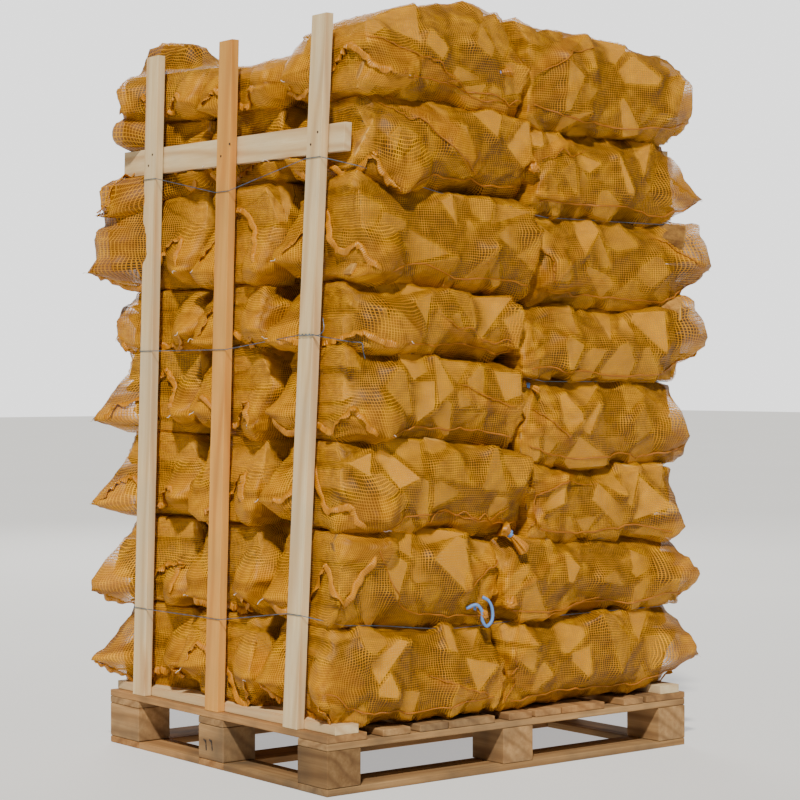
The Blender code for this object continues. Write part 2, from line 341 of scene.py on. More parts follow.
def sawn_wood(name, light, dark, ring, knot, grey, roughness, knot_share, dirt):
    finish = Finish(name)
    grain = finish.attribute("grain", "Vector")
    tone = finish.attribute("tone")
    knot_middle, knot_ring = knots(finish, grain, knot_share)
    wave = finish.noise(finish.stretched(grain, (1.2, 9.0, 9.0)), 1.0, 2.0)
    parts = finish.xyz(grain)
    across = parts["Y"] * RINGS_FLAT + parts["Z"] * RINGS_DEEP + wave * 9.0 + knot_ring * 2.5
    rings = across.sine() * 0.5 + 0.5
    fibre = finish.noise(finish.stretched(grain, (9.0, 420.0, 420.0)), 1.0, 3.0, 0.65)
    streak = finish.noise(finish.stretched(grain, (2.2, 60.0, 60.0)), 1.0, 4.0, 0.6)
    patch = finish.noise(grain, 5.0, 3.0)
    colour = finish.mix(streak.above(0.5, 0.5), light, dark)
    colour = finish.mix((rings**3.0) * 0.55, colour, ring)
    colour = finish.mix(fibre.above(0.58, 0.25) * 0.45, colour, dark)
    colour = finish.mix(patch.above(0.55, 0.25) * dirt, colour, grey)
    colour = finish.mix(knot_ring * 0.5, colour, ring)
    colour = finish.mix(knot_middle * 0.85, colour, knot)
    colour = finish.mix(1.0, colour, finish.ramp(tone, *SAWN_TONES), "MULTIPLY")
    relief = fibre * 0.5 + rings * 0.25 + streak * 0.25 - knot_middle * 0.2
    finish.surface(
        base_color=colour,
        roughness=fibre * 0.2 + (roughness - 0.1),
        normal=finish.bump(relief, SAWN_RELIEF, 0.8),
    )
    finish.shader.inputs["Specular IOR Level"].default_value = WOOD_SHINE
    return finish.material


pallet_wood = sawn_wood(
    "pallet_wood",
    light=paint(196, 158, 108),
    dark=paint(150, 112, 70),
    ring=paint(116, 80, 46),
    knot=paint(70, 40, 22),
    grey=paint(98, 84, 66),
    roughness=0.85,
    knot_share=0.16,
    dirt=0.80,
)
fresh_timber = sawn_wood(
    "fresh_timber",
    light=paint(236, 214, 170),
    dark=paint(214, 182, 132),
    ring=paint(186, 138, 86),
    knot=paint(108, 66, 38),
    grey=paint(184, 176, 152),
    roughness=0.7,
    knot_share=0.16,
    dirt=0.35,
)


def split_wood():
    """Firewood: torn fibres along the split sides, and rings on the sawn ends."""
    finish = Finish("split_firewood")
    grain = finish.attribute("grain", "Vector")
    tone = finish.attribute("tone")
    cut_end = finish.attribute("cut_end")
    fibre = finish.noise(finish.stretched(grain, (240.0, 8.0, 240.0)), 1.0, 4.0, 0.7)
    torn = finish.noise(finish.stretched(grain, (60.0, 4.0, 60.0)), 1.0, 3.0)
    patch = finish.noise(grain, 14.0, 3.0)
    parts = finish.xyz(grain)
    from_pith = (parts["X"] * parts["X"] + parts["Z"] * parts["Z"]) ** 0.5
    rings = ((from_pith + patch * 0.004) * SPLIT_RINGS).sine() * 0.5 + 0.5
    side = finish.mix(torn.above(0.5, 0.4), paint(214, 162, 76), paint(158, 106, 38))
    side = finish.mix(fibre.above(0.55, 0.3) * 0.5, side, paint(104, 66, 20))
    end = finish.mix(rings * 0.35, paint(228, 178, 90), paint(176, 124, 48))
    end = finish.mix(patch.above(0.6, 0.2) * 0.35, end, paint(124, 82, 32))
    colour = finish.mix(cut_end, side, end)
    colour = finish.mix(1.0, colour, finish.ramp(tone, *SPLIT_TONES), "MULTIPLY")
    relief = (fibre * 0.4 + torn) * (1.0 - cut_end * 0.6) + patch * 0.8 + rings * cut_end * 0.05
    finish.surface(
        base_color=colour, roughness=fibre * 0.2 + 0.7, normal=finish.bump(relief, SPLIT_RELIEF)
    )
    return finish.material


def rough_bark():
    finish = Finish("firewood_bark")
    grain = finish.attribute("grain", "Vector")
    ridges = finish.noise(finish.stretched(grain, (90.0, 22.0, 90.0)), 1.0, 5.0, 0.65)
    lichen = finish.noise(grain, 22.0, 4.0)
    colour = finish.mix(ridges.above(0.5, 0.3), paint(62, 50, 28), paint(118, 98, 56))
    colour = finish.mix(lichen.above(0.62, 0.1) * 0.5, colour, paint(130, 132, 104))
    finish.surface(base_color=colour, roughness=0.95, normal=finish.bump(ridges, BARK_RELIEF))
    return finish.material


firewood = split_wood()
bark = rough_bark()

# %% [markdown]
# ## Net finishes
# The sack is a knitted net of flat plastic threads, about six millimetres from one thread to
# the next. A model of each thread would take millions of faces, so the net is a closed skin
# whose UV map is in metres, and its finish draws the threads and lets light through between
# them. Where the net is gathered into folds its layers cover each other, so an attribute named
# gather closes the holes there and paints them a darker orange, the painted shade of the layers
# beneath. Where the net hangs clear of the logs, a second attribute paints shade into it: the
# threads a little darker and the holes nearly shut and dark, for the shade behind them.

# %% Net finishes
THREAD_PITCH = 0.0058
THREAD_SHARE = 0.30  # of the pitch that a thread covers
NET_SHINE = 0.3
NET_RELIEF = 0.0010
# How much of what lies behind is covered: by the bare holes, where the net is gathered into
# folds, and where it hangs clear of the logs, whose holes are nearly shut as painted shade
HOLE_COVER, GATHERED_COVER, HOLLOW_SHADE_COVER = 0.08, 0.97, 0.86
HEM_RIB = 0.0052  # metres from one stitch to the next


def knitted_net():
    finish = Finish("net_sack")
    place = finish.weave_place()
    gather = finish.attribute("gather")
    hollow_shade = finish.attribute("hollow_shade")
    drift = finish.noise(place, 9.0, 2.0)
    loose = finish.noise(place, 34.0, 2.0)
    parts = finish.xyz(place)
    along = parts["X"] / THREAD_PITCH + drift * 2.4
    up = parts["Y"] / THREAD_PITCH + drift * 2.0
    width = loose * 0.4 + (THREAD_SHARE - 0.2)
    wale = (abs(along.fraction() - 0.5) * 2.0).above(1.0 - width, 0.2)
    weft = (abs(up.fraction() - 0.5) * 2.0).above(1.0 - width * 0.85, 0.2)
    thread = wale.at_least(weft)
    closed = gather.above(0.45, 0.6)
    colour = finish.mix(loose.above(0.5, 0.5), paint(216, 142, 0), paint(238, 170, 0))
    # Painted shade where the net hangs clear of the logs: darker threads and near-black holes
    colour = finish.mix(hollow_shade * 0.5, colour, paint(148, 90, 0))
    colour = finish.mix(hollow_shade * (1.0 - thread) * 0.95, colour, paint(58, 36, 0))
    # Painted shade: the holes of gathered net show the layers beneath in a darker orange
    colour = finish.mix(closed * (1.0 - thread) * 0.8, colour, paint(146, 86, 0))
    cover = thread * 0.86 + HOLE_COVER
    finish.surface(
        base_color=colour,
        alpha=cover.at_least(closed * GATHERED_COVER).at_least(hollow_shade * HOLLOW_SHADE_COVER),
        roughness=loose * 0.3 + 0.35,
        normal=finish.bump(thread, NET_RELIEF, 0.8),
    )
    finish.shader.inputs["Specular IOR Level"].default_value = NET_SHINE
    return finish.material


def folded_hem(name, light, dark, groove_shade):
    """Several layers of net sewn together: closed, shiny and ribbed across, with painted shade in
    the grooves between the ribs.
    """
    finish = Finish(name)
    place = finish.weave_place()
    parts = finish.xyz(place)
    drift = finish.noise(place, 60.0, 2.0)
    ribs = (parts["X"] * (6.283 / HEM_RIB) + drift * 6.0).sine() * 0.5 + 0.5
    patch = finish.noise(place, 25.0, 3.0)
    colour = finish.mix(patch.above(0.5, 0.4), light, dark)
    # Painted shade in the grooves between the ribs
    colour = finish.mix((1.0 - ribs) * 0.4, colour, groove_shade)
    finish.surface(
        base_color=colour, roughness=patch * 0.3 + 0.25, normal=finish.bump(ribs, 0.0012, 0.9)
    )
    return finish.material


def twine(name, light, dark):
    finish = Finish(name)
    place = finish.object_place()
    strands = finish.noise(place, 900.0, 2.0)
    finish.surface(
        base_color=finish.mix(strands, light, dark),
        roughness=strands * 0.2 + 0.35,
        normal=finish.bump(strands, 0.0006, 0.7),
    )
    return finish.material


net_look = knitted_net()
hem_look = folded_hem("net_hem", paint(218, 146, 0), paint(190, 120, 0), paint(128, 76, 0))
# Painted shade: the side seams and fold cords are the hems' folded net, painted darker
shaded_seam_look = folded_hem("net_seam", paint(196, 124, 0), paint(170, 98, 0), paint(118, 64, 0))
white_twine = twine("white_twine", paint(240, 238, 230), paint(206, 202, 192))
blue_twine = twine("blue_twine", paint(118, 168, 232), paint(72, 118, 196))


def drawn_steel():
    finish = Finish("steel_wire")
    place = finish.object_place()
    stain = finish.noise(place, 60.0, 3.0)
    colour = finish.mix(stain.above(0.5, 0.3), paint(112, 146, 174), paint(78, 96, 114))
    finish.surface(base_color=colour, roughness=stain * 0.3 + 0.25)
    finish.shader.inputs["Metallic"].default_value = 0.85
    return finish.material


def nail_steel():
    finish = Finish("nail_head")
    place = finish.object_place()
    stain = finish.noise(place, 400.0, 3.0)
    colour = finish.mix(stain.above(0.5, 0.3), paint(70, 62, 56), paint(104, 72, 50))
    finish.surface(base_color=colour, roughness=stain * 0.3 + 0.4)
    finish.shader.inputs["Metallic"].default_value = 0.6
    return finish.material


wire_look = drawn_steel()
nail_look = nail_steel()

# %% [markdown]
# ## Sawn pieces
# The pallet's boards and blocks and the panels' timber are right in shape in the construction
# model, but a sawn edge is never sharp. Each piece starts as a copy of its CAD mesh with the
# loose triangles merged. Its edges are bevelled, it is cut across its length, and its corners
# are then moved inwards by a smooth noise, so that the edges wander a little as worn ones do.

# %% Sawn pieces
PALLET_PARTS = ("base_board", "base_cross", "block", "stringer", "deck_board")
tones = random.Random(11)
CUT_STEP = 0.035  # metres along a piece from one cut to the next
SHARP_TURN = 0.8  # radians between two faces, past which their edge is bevelled
WEAR_SCALE = 21.0
PALLET_BEVELS, PALLET_WEAR = (0.0015, 0.003), 0.0012
PANEL_BEVEL, PANEL_WEAR = 0.0011, 0.0005


def long_axis(low, high):
    sizes = [b - a for a, b in zip(low, high)]
    return sizes.index(max(sizes))


def belongs(piece):
    """Every piece here stands on the one body."""
    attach(piece, "root")


def read_back(items, key, width, kind):
    """What a mesh holds under a name, one row for each of its items."""
    values = np.empty(len(items) * width, dtype=kind)
    items.foreach_get(key, values)
    return values.reshape(-1, width) if width > 1 else values


def vertex_places(mesh):
    return read_back(mesh.vertices, "co", 3, np.float64)


def face_normals(mesh):
    return read_back(mesh.polygons, "normal", 3, np.float32)


def corner_points(mesh):
    return read_back(mesh.loops, "vertex_index", 1, np.int32)


def write_attribute(mesh, name, kind, values):
    layer = mesh.attributes.new(name, kind, "POINT")
    key = "vector" if kind == "FLOAT_VECTOR" else "value"
    layer.data.foreach_set(key, np.ascontiguousarray(values, dtype=np.float32).ravel())


def bevelled(bm, edges, offset):
    bmesh.ops.bevel(
        bm,
        geom=edges,
        offset=offset,
        affect="EDGES",
        segments=2,
        profile=0.5,
        material=-1,
        clamp_overlap=True,
    )


def grain_places(mesh, axis, shift):
    """Coordinates that run along the grain first, with the piece's own shift."""
    order = [axis] + [other for other in (1, 0, 2) if other != axis]
    return vertex_places(mesh)[:, order] + np.array(shift)


def sawn_piece(node, bevel, wear, look, tone):
    low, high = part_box(node)
    axis = long_axis(low, high)
    bm = bmesh.new()
    bm.from_mesh(nodes[node].data)
    bmesh.ops.remove_doubles(bm, verts=bm.verts, dist=1e-5)
    bmesh.ops.dissolve_limit(
        bm, angle_limit=math.radians(1.0), verts=bm.verts[:], edges=bm.edges[:]
    )
    long_edges = [
        e for e in bm.edges if abs((e.verts[0].co - e.verts[1].co).normalized()[axis]) > 0.9
    ]
    cuts = max(3, int((high[axis] - low[axis]) / CUT_STEP))
    bmesh.ops.subdivide_edges(bm, edges=long_edges, cuts=cuts, use_grid_fill=True)
    sharp = [e for e in bm.edges if e.calc_face_angle(0.0) > SHARP_TURN]
    bevelled(bm, sharp, bevel)
    middle = (Vector(low) + Vector(high)) / 2
    seed = Vector([tones.uniform(-50.0, 50.0) for _ in range(3)])
    for vert in bm.verts:
        inwards = (middle - vert.co) * Vector([0.0 if i == axis else 1.0 for i in range(3)])
        amount = 0.5 + 0.5 * noise.noise(vert.co * WEAR_SCALE + seed)
        vert.co += inwards.normalized() * amount * wear
    bmesh.ops.recalc_face_normals(bm, faces=bm.faces)
    for face in bm.faces:
        face.smooth = False
    piece = link_mesh(f"worn_{node}", bm, look)
    shift = [tones.uniform(-3.0, 3.0) for _ in range(3)]
    write_attribute(piece.data, "grain", "FLOAT_VECTOR", grain_places(piece.data, axis, shift))
    write_attribute(piece.data, "tone", "FLOAT", np.full(len(piece.data.vertices), tone))
    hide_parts(node)
    belongs(piece)
    return piece


# The pieces that show have the tone that they have in the photograph, the others one by chance
PALLET_TONES = {
    "block_1_1": 0.04,
    "block_1_2": 0.52,
    "block_1_3": 0.46,
    "block_2_1": 0.42,
    "block_3_1": 0.52,
    "stringer_1": 0.46,
    "base_board_1": 0.36,
    "base_cross_1": 0.24,
}
pallet_pieces = [
    sawn_piece(
        name,
        tones.uniform(*PALLET_BEVELS),
        PALLET_WEAR,
        pallet_wood,
        PALLET_TONES.get(name, tones.uniform(0.35, 0.75)),
    )
    for name in nodes
    if name.startswith(PALLET_PARTS)
]
PANEL_TONES = {"left_upright_2": 1.0, "left_strip": 0.55, "left_rail": 0.45}
panel_pieces = [
    sawn_piece(
        name,
        PANEL_BEVEL,
        PANEL_WEAR,
        fresh_timber,
        PANEL_TONES.get(name, 0.5),
    )
    for name in nodes
    if name.endswith(("_strip", "_rail")) or "_upright_" in name
]
print(len(pallet_pieces), "pallet pieces,", len(panel_pieces), "panel pieces")

# %% [markdown]
# ## Reading the load's shape
# Each layer of six sacks is one solid in the construction model, which says how high the layer
# lies at each place. Rays shot at that solid read the heights back, and rays shot at the
# uprights and rails say how far out the sacks may come, so the detailed sacks fill the same
# space behind the same timber.

# %% Reading the load's shape
LAYERS = 8
ROWS = ((-0.502, -0.170), (-0.164, 0.164), (0.170, 0.500))  # along Y, from the front
COLUMN_GAPS = (-0.045, -0.060, 0.045, 0.010, 0.000, 0.060, 0.050, 0.028)  # X, bottom to top
RAIL_LAYER = 6  # the layer that the rails cross
RAIL_MIDDLE = 1.575
RAIL_BAND = 0.05  # above and below the rail's middle, where logs stay behind the rail
TIMBER_CLEAR = 0.009
SOFT_LOW, SOFT_HIGH = (-0.692, -0.549, 0.146), (0.706, 0.548, 1.960)  # the limits of soft parts
UP = Vector((0.0, 0.0, 1.0))


def solid_tree(node):
    bm = bmesh.new()
    bm.from_mesh(nodes[node].data)
    tree = BVHTree.FromBMesh(bm)
    bm.free()
    return tree


def outwards(side):
    """The way out of the load at its left end, 0, or its right end, 1."""
    return Vector((-1.0 if side == 0 else 1.0, 0.0, 0.0))


layer_trees = [solid_tree(f"sack_layer_{layer + 1}") for layer in range(LAYERS)]
SIDES = ("left", "right")
upright_trees = {
    (side, row): solid_tree(f"{SIDES[side]}_upright_{row + 1}")
    for side in (0, 1)
    for row in range(3)
}


SOLID_XS, SOLID_YS = (-0.44, 0.49), (-0.44, 0.44)  # within these a ray meets every layer
# The top of the load, as points (X, Z) by the column and the row of the sack
TOP_LINES = {
    (0, 0): (
        *((-0.60, 1.780), (-0.54, 1.822), (-0.42, 1.876), (-0.36, 1.898)),
        *((-0.24, 1.922), (-0.12, 1.950), (-0.04, 1.950), (0.03, 1.915)),
    ),
    (0, 1): ((-0.60, 1.745), (-0.54, 1.770), (-0.42, 1.81), (-0.30, 1.845), (0.03, 1.90)),
    (0, 2): ((-0.60, 1.785), (-0.54, 1.820), (-0.42, 1.83), (0.03, 1.84)),
    (1, 0): (
        *((0.03, 1.840), (0.08, 1.862), (0.13, 1.882), (0.19, 1.896)),
        *((0.40, 1.886), (0.47, 1.866), (0.54, 1.836), (0.62, 1.790)),
    ),
    (1, 1): ((0.03, 1.80), (0.10, 1.86), (0.30, 1.87), (0.50, 1.85), (0.62, 1.79)),
    (1, 2): ((0.03, 1.79), (0.10, 1.84), (0.30, 1.87), (0.50, 1.86), (0.62, 1.80)),
}


def layer_heights(layer, x, y):
    """The layer's lowest and highest point over a place."""
    if layer == LAYERS - 1:
        row = 0 if y < ROWS[0][1] else (2 if y > ROWS[2][0] else 1)
        line = TOP_LINES[0 if x < COLUMN_GAPS[layer] else 1, row]
        top = float(np.interp(x, [point[0] for point in line], [point[1] for point in line]))
    x = min(max(x, SOLID_XS[0]), SOLID_XS[1])
    y = min(max(y, SOLID_YS[0]), SOLID_YS[1])
    low = layer_trees[layer].ray_cast(Vector((x, y, -1.0)), UP)[0]
    high = layer_trees[layer].ray_cast(Vector((x, y, 4.0)), -UP)[0]
    return low.z, (top if layer == LAYERS - 1 else high.z)


def panel_face(side, row, z):
    """The X of the inner face of the upright that crosses a row of sacks, at a height."""
    low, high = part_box(f"{SIDES[side]}_upright_{row + 1}")
    z = min(max(z, low[2] + 0.01), high[2] - 0.01)
    for shift in (0.0, 0.014, -0.014, 0.028, -0.028):
        start = Vector((0.0, (low[1] + high[1]) / 2 + shift, z))
        hit = upright_trees[side, row].ray_cast(start, outwards(side))[0]
        if hit:
            return hit.x
    return high[0] if side == 0 else low[0]


rail_trees = [solid_tree(f"{side}_rail") for side in SIDES]


def rail_face(side, y):
    """The X of the rail's inner face, which runs aslant where the uprights lean differently."""
    low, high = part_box(f"{SIDES[side]}_rail")
    start = Vector((0.0, min(max(y, low[1] + 0.01), high[1] - 0.01), (low[2] + high[2]) / 2))
    return rail_trees[side].ray_cast(start, outwards(side))[0].x


print("inner faces at 1 m:", [round(panel_face(side, 0, 1.0), 4) for side in (0, 1)])

# %% [markdown]
# ## Splitting the firewood
# Firewood is a round log split again and again, so its pieces are wedges that fit each other.
# The same is done here with the sack's outline, seen from the front: a line across the longest
# way cuts it in two, and each half is cut again until the pieces are the size of split logs.
# Each flat shape is turned a little, drawn out to a log's length and bevelled along its edges.
# No two logs are packed in line, so their ends lie at different depths and slants.

# %% Splitting the firewood
LOG_FACE = 0.0092  # the area in square metres above which a piece is split again
LOG_SLIVER = 0.0008  # the area under which it is left out
LOG_SHORTEST_SIDE = 0.008
LOG_APART = 0.0045
LOG_EDGE = 0.0055
BARK_SHARE, TOP_BARK_SHARE = 0.40, 0.6
END_ZONE = 0.07  # from the sack's outer end, where logs lie flat against the panel
CUT_END_FACING = 0.75  # how far a face looks along Y where it is a log's sawn end
# How far the logs' ends lie from their row's edge along Y, where the end shows and where it is
# inside the load, and how much further in near the sack's top, bottom and outer end
FREE_SPREAD, INNER_SPREAD = (-0.020, 0.036), (0.0, 0.022)
FREE_ROUNDING, INNER_ROUNDING, END_ROUNDING = 0.048, 0.024, 0.014
LOG_ROOM = 0.002  # between the logs' ends and the sack's row
SACK_NUMBERS = 60  # log numbers kept for each sack of a layer
SLANTED_NUMBERS = 55  # the first of those for its slanted logs


def cut(shape, point, normal):
    """The part of a convex outline that lies behind a line."""
    kept = []
    for a, b in zip(shape, shape[1:] + shape[:1]):
        side_a = (a[0] - point[0]) * normal[0] + (a[1] - point[1]) * normal[1]
        side_b = (b[0] - point[0]) * normal[0] + (b[1] - point[1]) * normal[1]
        if side_a <= 0:
            kept.append(a)
        if side_a * side_b < 0:
            share = side_a / (side_a - side_b)
            kept.append((a[0] + (b[0] - a[0]) * share, a[1] + (b[1] - a[1]) * share))
    return kept


def outline_area(shape):
    return 0.5 * sum(a[0] * b[1] - b[0] * a[1] for a, b in zip(shape, shape[1:] + shape[:1]))


def outline_middle(shape):
    return tuple(sum(point[i] for point in shape) / len(shape) for i in (0, 1))


def convex(shape):
    """The convex hull of an outline, counter-clockwise."""
    points = sorted(set(shape))
    hull = []
    for run in (points, points[::-1]):
        half = []
        for p in run:
            while len(half) > 1 and (
                (half[-1][0] - half[-2][0]) * (p[1] - half[-2][1])
                - (half[-1][1] - half[-2][1]) * (p[0] - half[-2][0])
            ) <= 1e-7:
                half.pop()
            half.append(p)
        hull += half[:-1]
    return hull


def split_outline(rng, outline):
    waiting, done = [outline], []
    while waiting:
        shape = waiting.pop()
        if outline_area(shape) < LOG_FACE * rng.uniform(0.6, 1.4):
            done.append(shape)
            continue
        ends = max(
            ((a, b) for a in shape for b in shape), key=lambda pair: math.dist(pair[0], pair[1])
        )
        turn = math.atan2(ends[1][1] - ends[0][1], ends[1][0] - ends[0][0])
        turn += rng.uniform(-0.6, 0.6)
        normal = (math.cos(turn), math.sin(turn))
        middle = outline_middle(shape)
        slide = rng.uniform(-0.13, 0.13) * math.dist(*ends)
        point = (middle[0] + normal[0] * slide, middle[1] + normal[1] * slide)
        waiting.append(cut(shape, point, normal))
        waiting.append(cut(shape, point, (-normal[0], -normal[1])))
    return done


def shrink(shape, amount):
    smaller = shape
    for a, b in zip(shape, shape[1:] + shape[:1]):
        length = math.dist(a, b)
        normal = ((b[1] - a[1]) / length, -(b[0] - a[0]) / length)
        point = (a[0] - normal[0] * amount, a[1] - normal[1] * amount)
        smaller = cut(smaller, point, normal)
    return [p for i, p in enumerate(smaller) if math.dist(p, smaller[i - 1]) > LOG_SHORTEST_SIDE]


def turned(shape, turn, size):
    """The outline turned and scaled about its own middle."""
    middle = outline_middle(shape)
    c, s = math.cos(turn) * size, math.sin(turn) * size
    away = [(p[0] - middle[0], p[1] - middle[1]) for p in shape]
    return [(middle[0] + x * c - z * s, middle[1] + x * s + z * c) for x, z in away]


def round_side(shape):
    """Cuts the two corners of the longest side, as the arc of a log under its bark."""
    count = len(shape)
    side = max(range(count), key=lambda i: math.dist(shape[i], shape[(i + 1) % count]))
    rounded, barked = [], []
    for i, corner in enumerate(shape):
        if i not in (side, (side + 1) % count):
            rounded.append(corner)
            continue
        shares = (0.24, 0.18) if i == side else (0.18, 0.24)
        for other, share in zip((shape[i - 1], shape[(i + 1) % count]), shares):
            rounded.append(tuple(c + (o - c) * share for c, o in zip(corner, other)))
            barked.append(len(rounded) - 1)
    return rounded, barked


def add_log(bm, shape, barked, ends, drift, tilts, number, number_layer):
    """Draws an outline out from one end's Y to the other's, and marks its bark side."""
    verts = bmesh.ops.create_circle(bm, cap_ends=True, segments=len(shape), radius=1.0)["verts"]
    middle = outline_middle(shape)
    for vert, (x, z) in zip(verts, shape):
        vert.co = Vector((x, 0.0, z))
    geom = bmesh.ops.extrude_face_region(bm, geom=[verts[0].link_faces[0]])["geom"]
    far = [item for item in geom if isinstance(item, bmesh.types.BMVert)]
    for group, end in ((verts, 0), (far, 1)):
        for vert in group:
            across, up = vert.co.x - middle[0], vert.co.z - middle[1]
            slant = across * tilts[end][0] + up * tilts[end][1]
            vert.co += Vector((drift[0] * end, ends[end] + slant, drift[1] * end))
    faces = {face for vert in verts + far for face in vert.link_faces}
    bark_verts = {verts[i] for i in barked}
    for face in faces:
        face[number_layer] = number
        touching = [vert for vert in face.verts if vert in bark_verts]
        face.material_index = 1 if len(touching) == 2 and len(face.verts) == 4 else 0
    return faces


def flat_sides(faces):
    """Each face as a plane: an outward normal and its distance from the origin."""
    for face in faces:
        face.normal_update()
    centre = sum((face.calc_center_median() for face in faces), Vector()) / len(faces)
    normals, offsets = [], []
    for face in faces:
        point = face.calc_center_median()
        sign = 1.0 if face.normal.dot(point - centre) > 0 else -1.0
        normals.append(face.normal * sign)
        offsets.append(sign * face.normal.dot(point))
    return np.array(normals), np.array(offsets)


# The broad folds on the load's front: the layer and column, points (X, Z) along the crisp edge
# with the fold on its left, and the fold's width
FRONT_FOLDS = (
    (7, 0, ((-0.213, 1.738), (-0.36, 1.790), (-0.53, 1.836)), 0.042),
    (7, 0, ((0.060, 1.672), (-0.10, 1.690), (-0.251, 1.706)), 0.040),
    (6, 0, ((-0.455, 1.710), (-0.292, 1.597), (-0.109, 1.468)), 0.075),
    (7, 1, ((0.068, 1.763), (0.15, 1.82), (0.277, 1.893)), 0.040),
    (6, 1, ((0.080, 1.545), (0.15, 1.578), (0.24, 1.60)), 0.034),
    (5, 1, ((0.109, 1.217), (0.070, 1.31), (0.041, 1.393)), 0.028),
    (5, 1, ((0.643, 1.281), (0.56, 1.33), (0.471, 1.397)), 0.024),
    (4, 0, ((-0.03, 1.075), (-0.16, 1.100), (-0.28, 1.150)), 0.034),
    (3, 0, ((-0.02, 0.920), (-0.12, 0.950), (-0.22, 0.985)), 0.036),
    (3, 1, ((0.17, 0.84), (0.10, 0.885), (0.04, 0.93)), 0.034),
    (2, 0, ((-0.02, 0.635), (-0.16, 0.650), (-0.34, 0.640)), 0.028),
    (2, 1, ((-0.035, 0.601), (0.069, 0.688), (0.279, 0.752)), 0.045),
    (1, 0, ((-0.158, 0.477), (-0.09, 0.515), (-0.016, 0.557)), 0.050),
    (1, 1, ((0.103, 0.367), (0.22, 0.385), (0.333, 0.377)), 0.040),
    (0, 1, ((-0.026, 0.160), (-0.025, 0.24), (-0.032, 0.318)), 0.057),
    (0, 0, ((-0.09, 0.200), (-0.18, 0.225), (-0.30, 0.270)), 0.032),
)


# How far the end of a corner sack yaws outwards past its upright, from the bottom layer up,
# where the load's outline shows it
CORNER_FLARES = {
    (0, 2): (0.08, 0.09, 0.09, 0.10, 0.09, 0.08, 0.06, 0.08),
    (1, 0): (0.06, 0.06, 0.01, 0.05, 0.08, 0.10, 0.03, 0.02),
}
# Logs that lie aslant over a corner of the load: the sack's layer, column and row, the two ends
# of the log's middle line (X, Y, Z) and half its thickness
SLANTED_LOGS = (
    (5, 0, 2, (-0.430, 0.350, 1.362), (-0.598, 0.502, 1.338), 0.060),
    (5, 0, 2, (-0.430, 0.330, 1.425), (-0.570, 0.500, 1.438), 0.034),
    (6, 0, 2, (-0.430, 0.350, 1.494), (-0.596, 0.502, 1.478), 0.044),
    (6, 0, 2, (-0.420, 0.360, 1.662), (-0.552, 0.496, 1.656), 0.040),
    (7, 0, 2, (-0.415, 0.340, 1.768), (-0.522, 0.480, 1.748), 0.056),
    (7, 0, 2, (-0.455, 0.300, 1.856), (-0.432, 0.470, 1.876), 0.037),
    (3, 1, 0, (0.420, -0.350, 0.880), (0.548, -0.490, 0.890), 0.048),
    (4, 1, 0, (0.430, -0.350, 1.165), (0.588, -0.497, 1.160), 0.052),
    (5, 1, 0, (0.430, -0.350, 1.375), (0.590, -0.497, 1.352), 0.054),
    (7, 1, 0, (0.420, -0.350, 1.750), (0.545, -0.486, 1.740), 0.056),
)


RAIL_CORNER_BACK = 0.520  # how far back the rear corner sack reaches that the rail crosses
FLARE_FROM_END = 0.34  # the length of sack over which a corner sack yaws
FLARE_PIVOT, FLARE_SPAN = 0.355, 0.33  # along Y
OUTLINE_STEPS = 9
INNER_TRIM, OUTER_TRIM = (0.006, 0.026), (0.012, 0.038)  # of a sack's four corners
BACK_TRIM_SHARE = 0.35
# How far a sack's outline stays inside its layer, above the deck and under the load's top, and
# how far it sinks into the next layer elsewhere
DECK_ROOM, TOP_ROOM, SINK_DOWN, SINK_UP = 0.003, 0.002, -0.003, -0.005


class Sack:
    """One sack's place in the load: its layer, its column along X and its row along Y."""

    def __init__(self, layer, column, row):
        self.layer, self.column, self.row = layer, column, row
        self.name = f"{layer + 1}_{column + 1}_{row + 1}"
        self.rng = random.Random(1000 + layer * 10 + column * 3 + row * 131)
        self.y_low, self.y_high = ROWS[row]
        if (layer, column, row) == (RAIL_LAYER, 0, 2):
            self.y_high = RAIL_CORNER_BACK
        self.y_middle = (self.y_low + self.y_high) / 2
        self.side = -1 if column == 0 else 1
        self.inner_x = COLUMN_GAPS[layer] + self.side * self.rng.uniform(-0.004, 0.004)
        self.flare = 0.0 if row == 1 else self.rng.uniform(0.03, 0.06)
        if (column, row) in CORNER_FLARES:
            self.flare = CORNER_FLARES[column, row][layer]
        self.z_low, self.z_high = self.heights(self.side * 0.4)
        self.folds = [
            (line, wide)
            for *place, line, wide in FRONT_FOLDS
            if row == 0 and place == [layer, column]
        ]

    def heights(self, x):
        return layer_heights(self.layer, x, self.y_middle)

    def outer_x(self, z):
        """How far out the sack's logs may lie at a height, behind the timber that crosses it."""
        face = panel_face(self.column, self.row, z)
        if self.layer == RAIL_LAYER and abs(z - RAIL_MIDDLE) < RAIL_BAND:
            face = rail_face(self.column, self.y_low)
        return face - self.side * TIMBER_CLEAR


def flared(sack, points):
    """Yaws the outer end of a corner sack, with all that is in it."""
    start = abs(sack.outer_x((sack.z_low + sack.z_high) / 2)) - FLARE_FROM_END
    share = np.clip((points[:, 0] * sack.side - start) / FLARE_FROM_END, 0.0, 1.0)
    along = (np.abs(points[:, 1]) - FLARE_PIVOT) / FLARE_SPAN
    if sack.layer == RAIL_LAYER:
        along *= np.clip((np.abs(points[:, 2] - RAIL_MIDDLE) - 0.042) / 0.03, 0.0, 1.0)
    moved = points.copy()
    moved[:, 0] += sack.side * sack.flare * along * share
    return moved


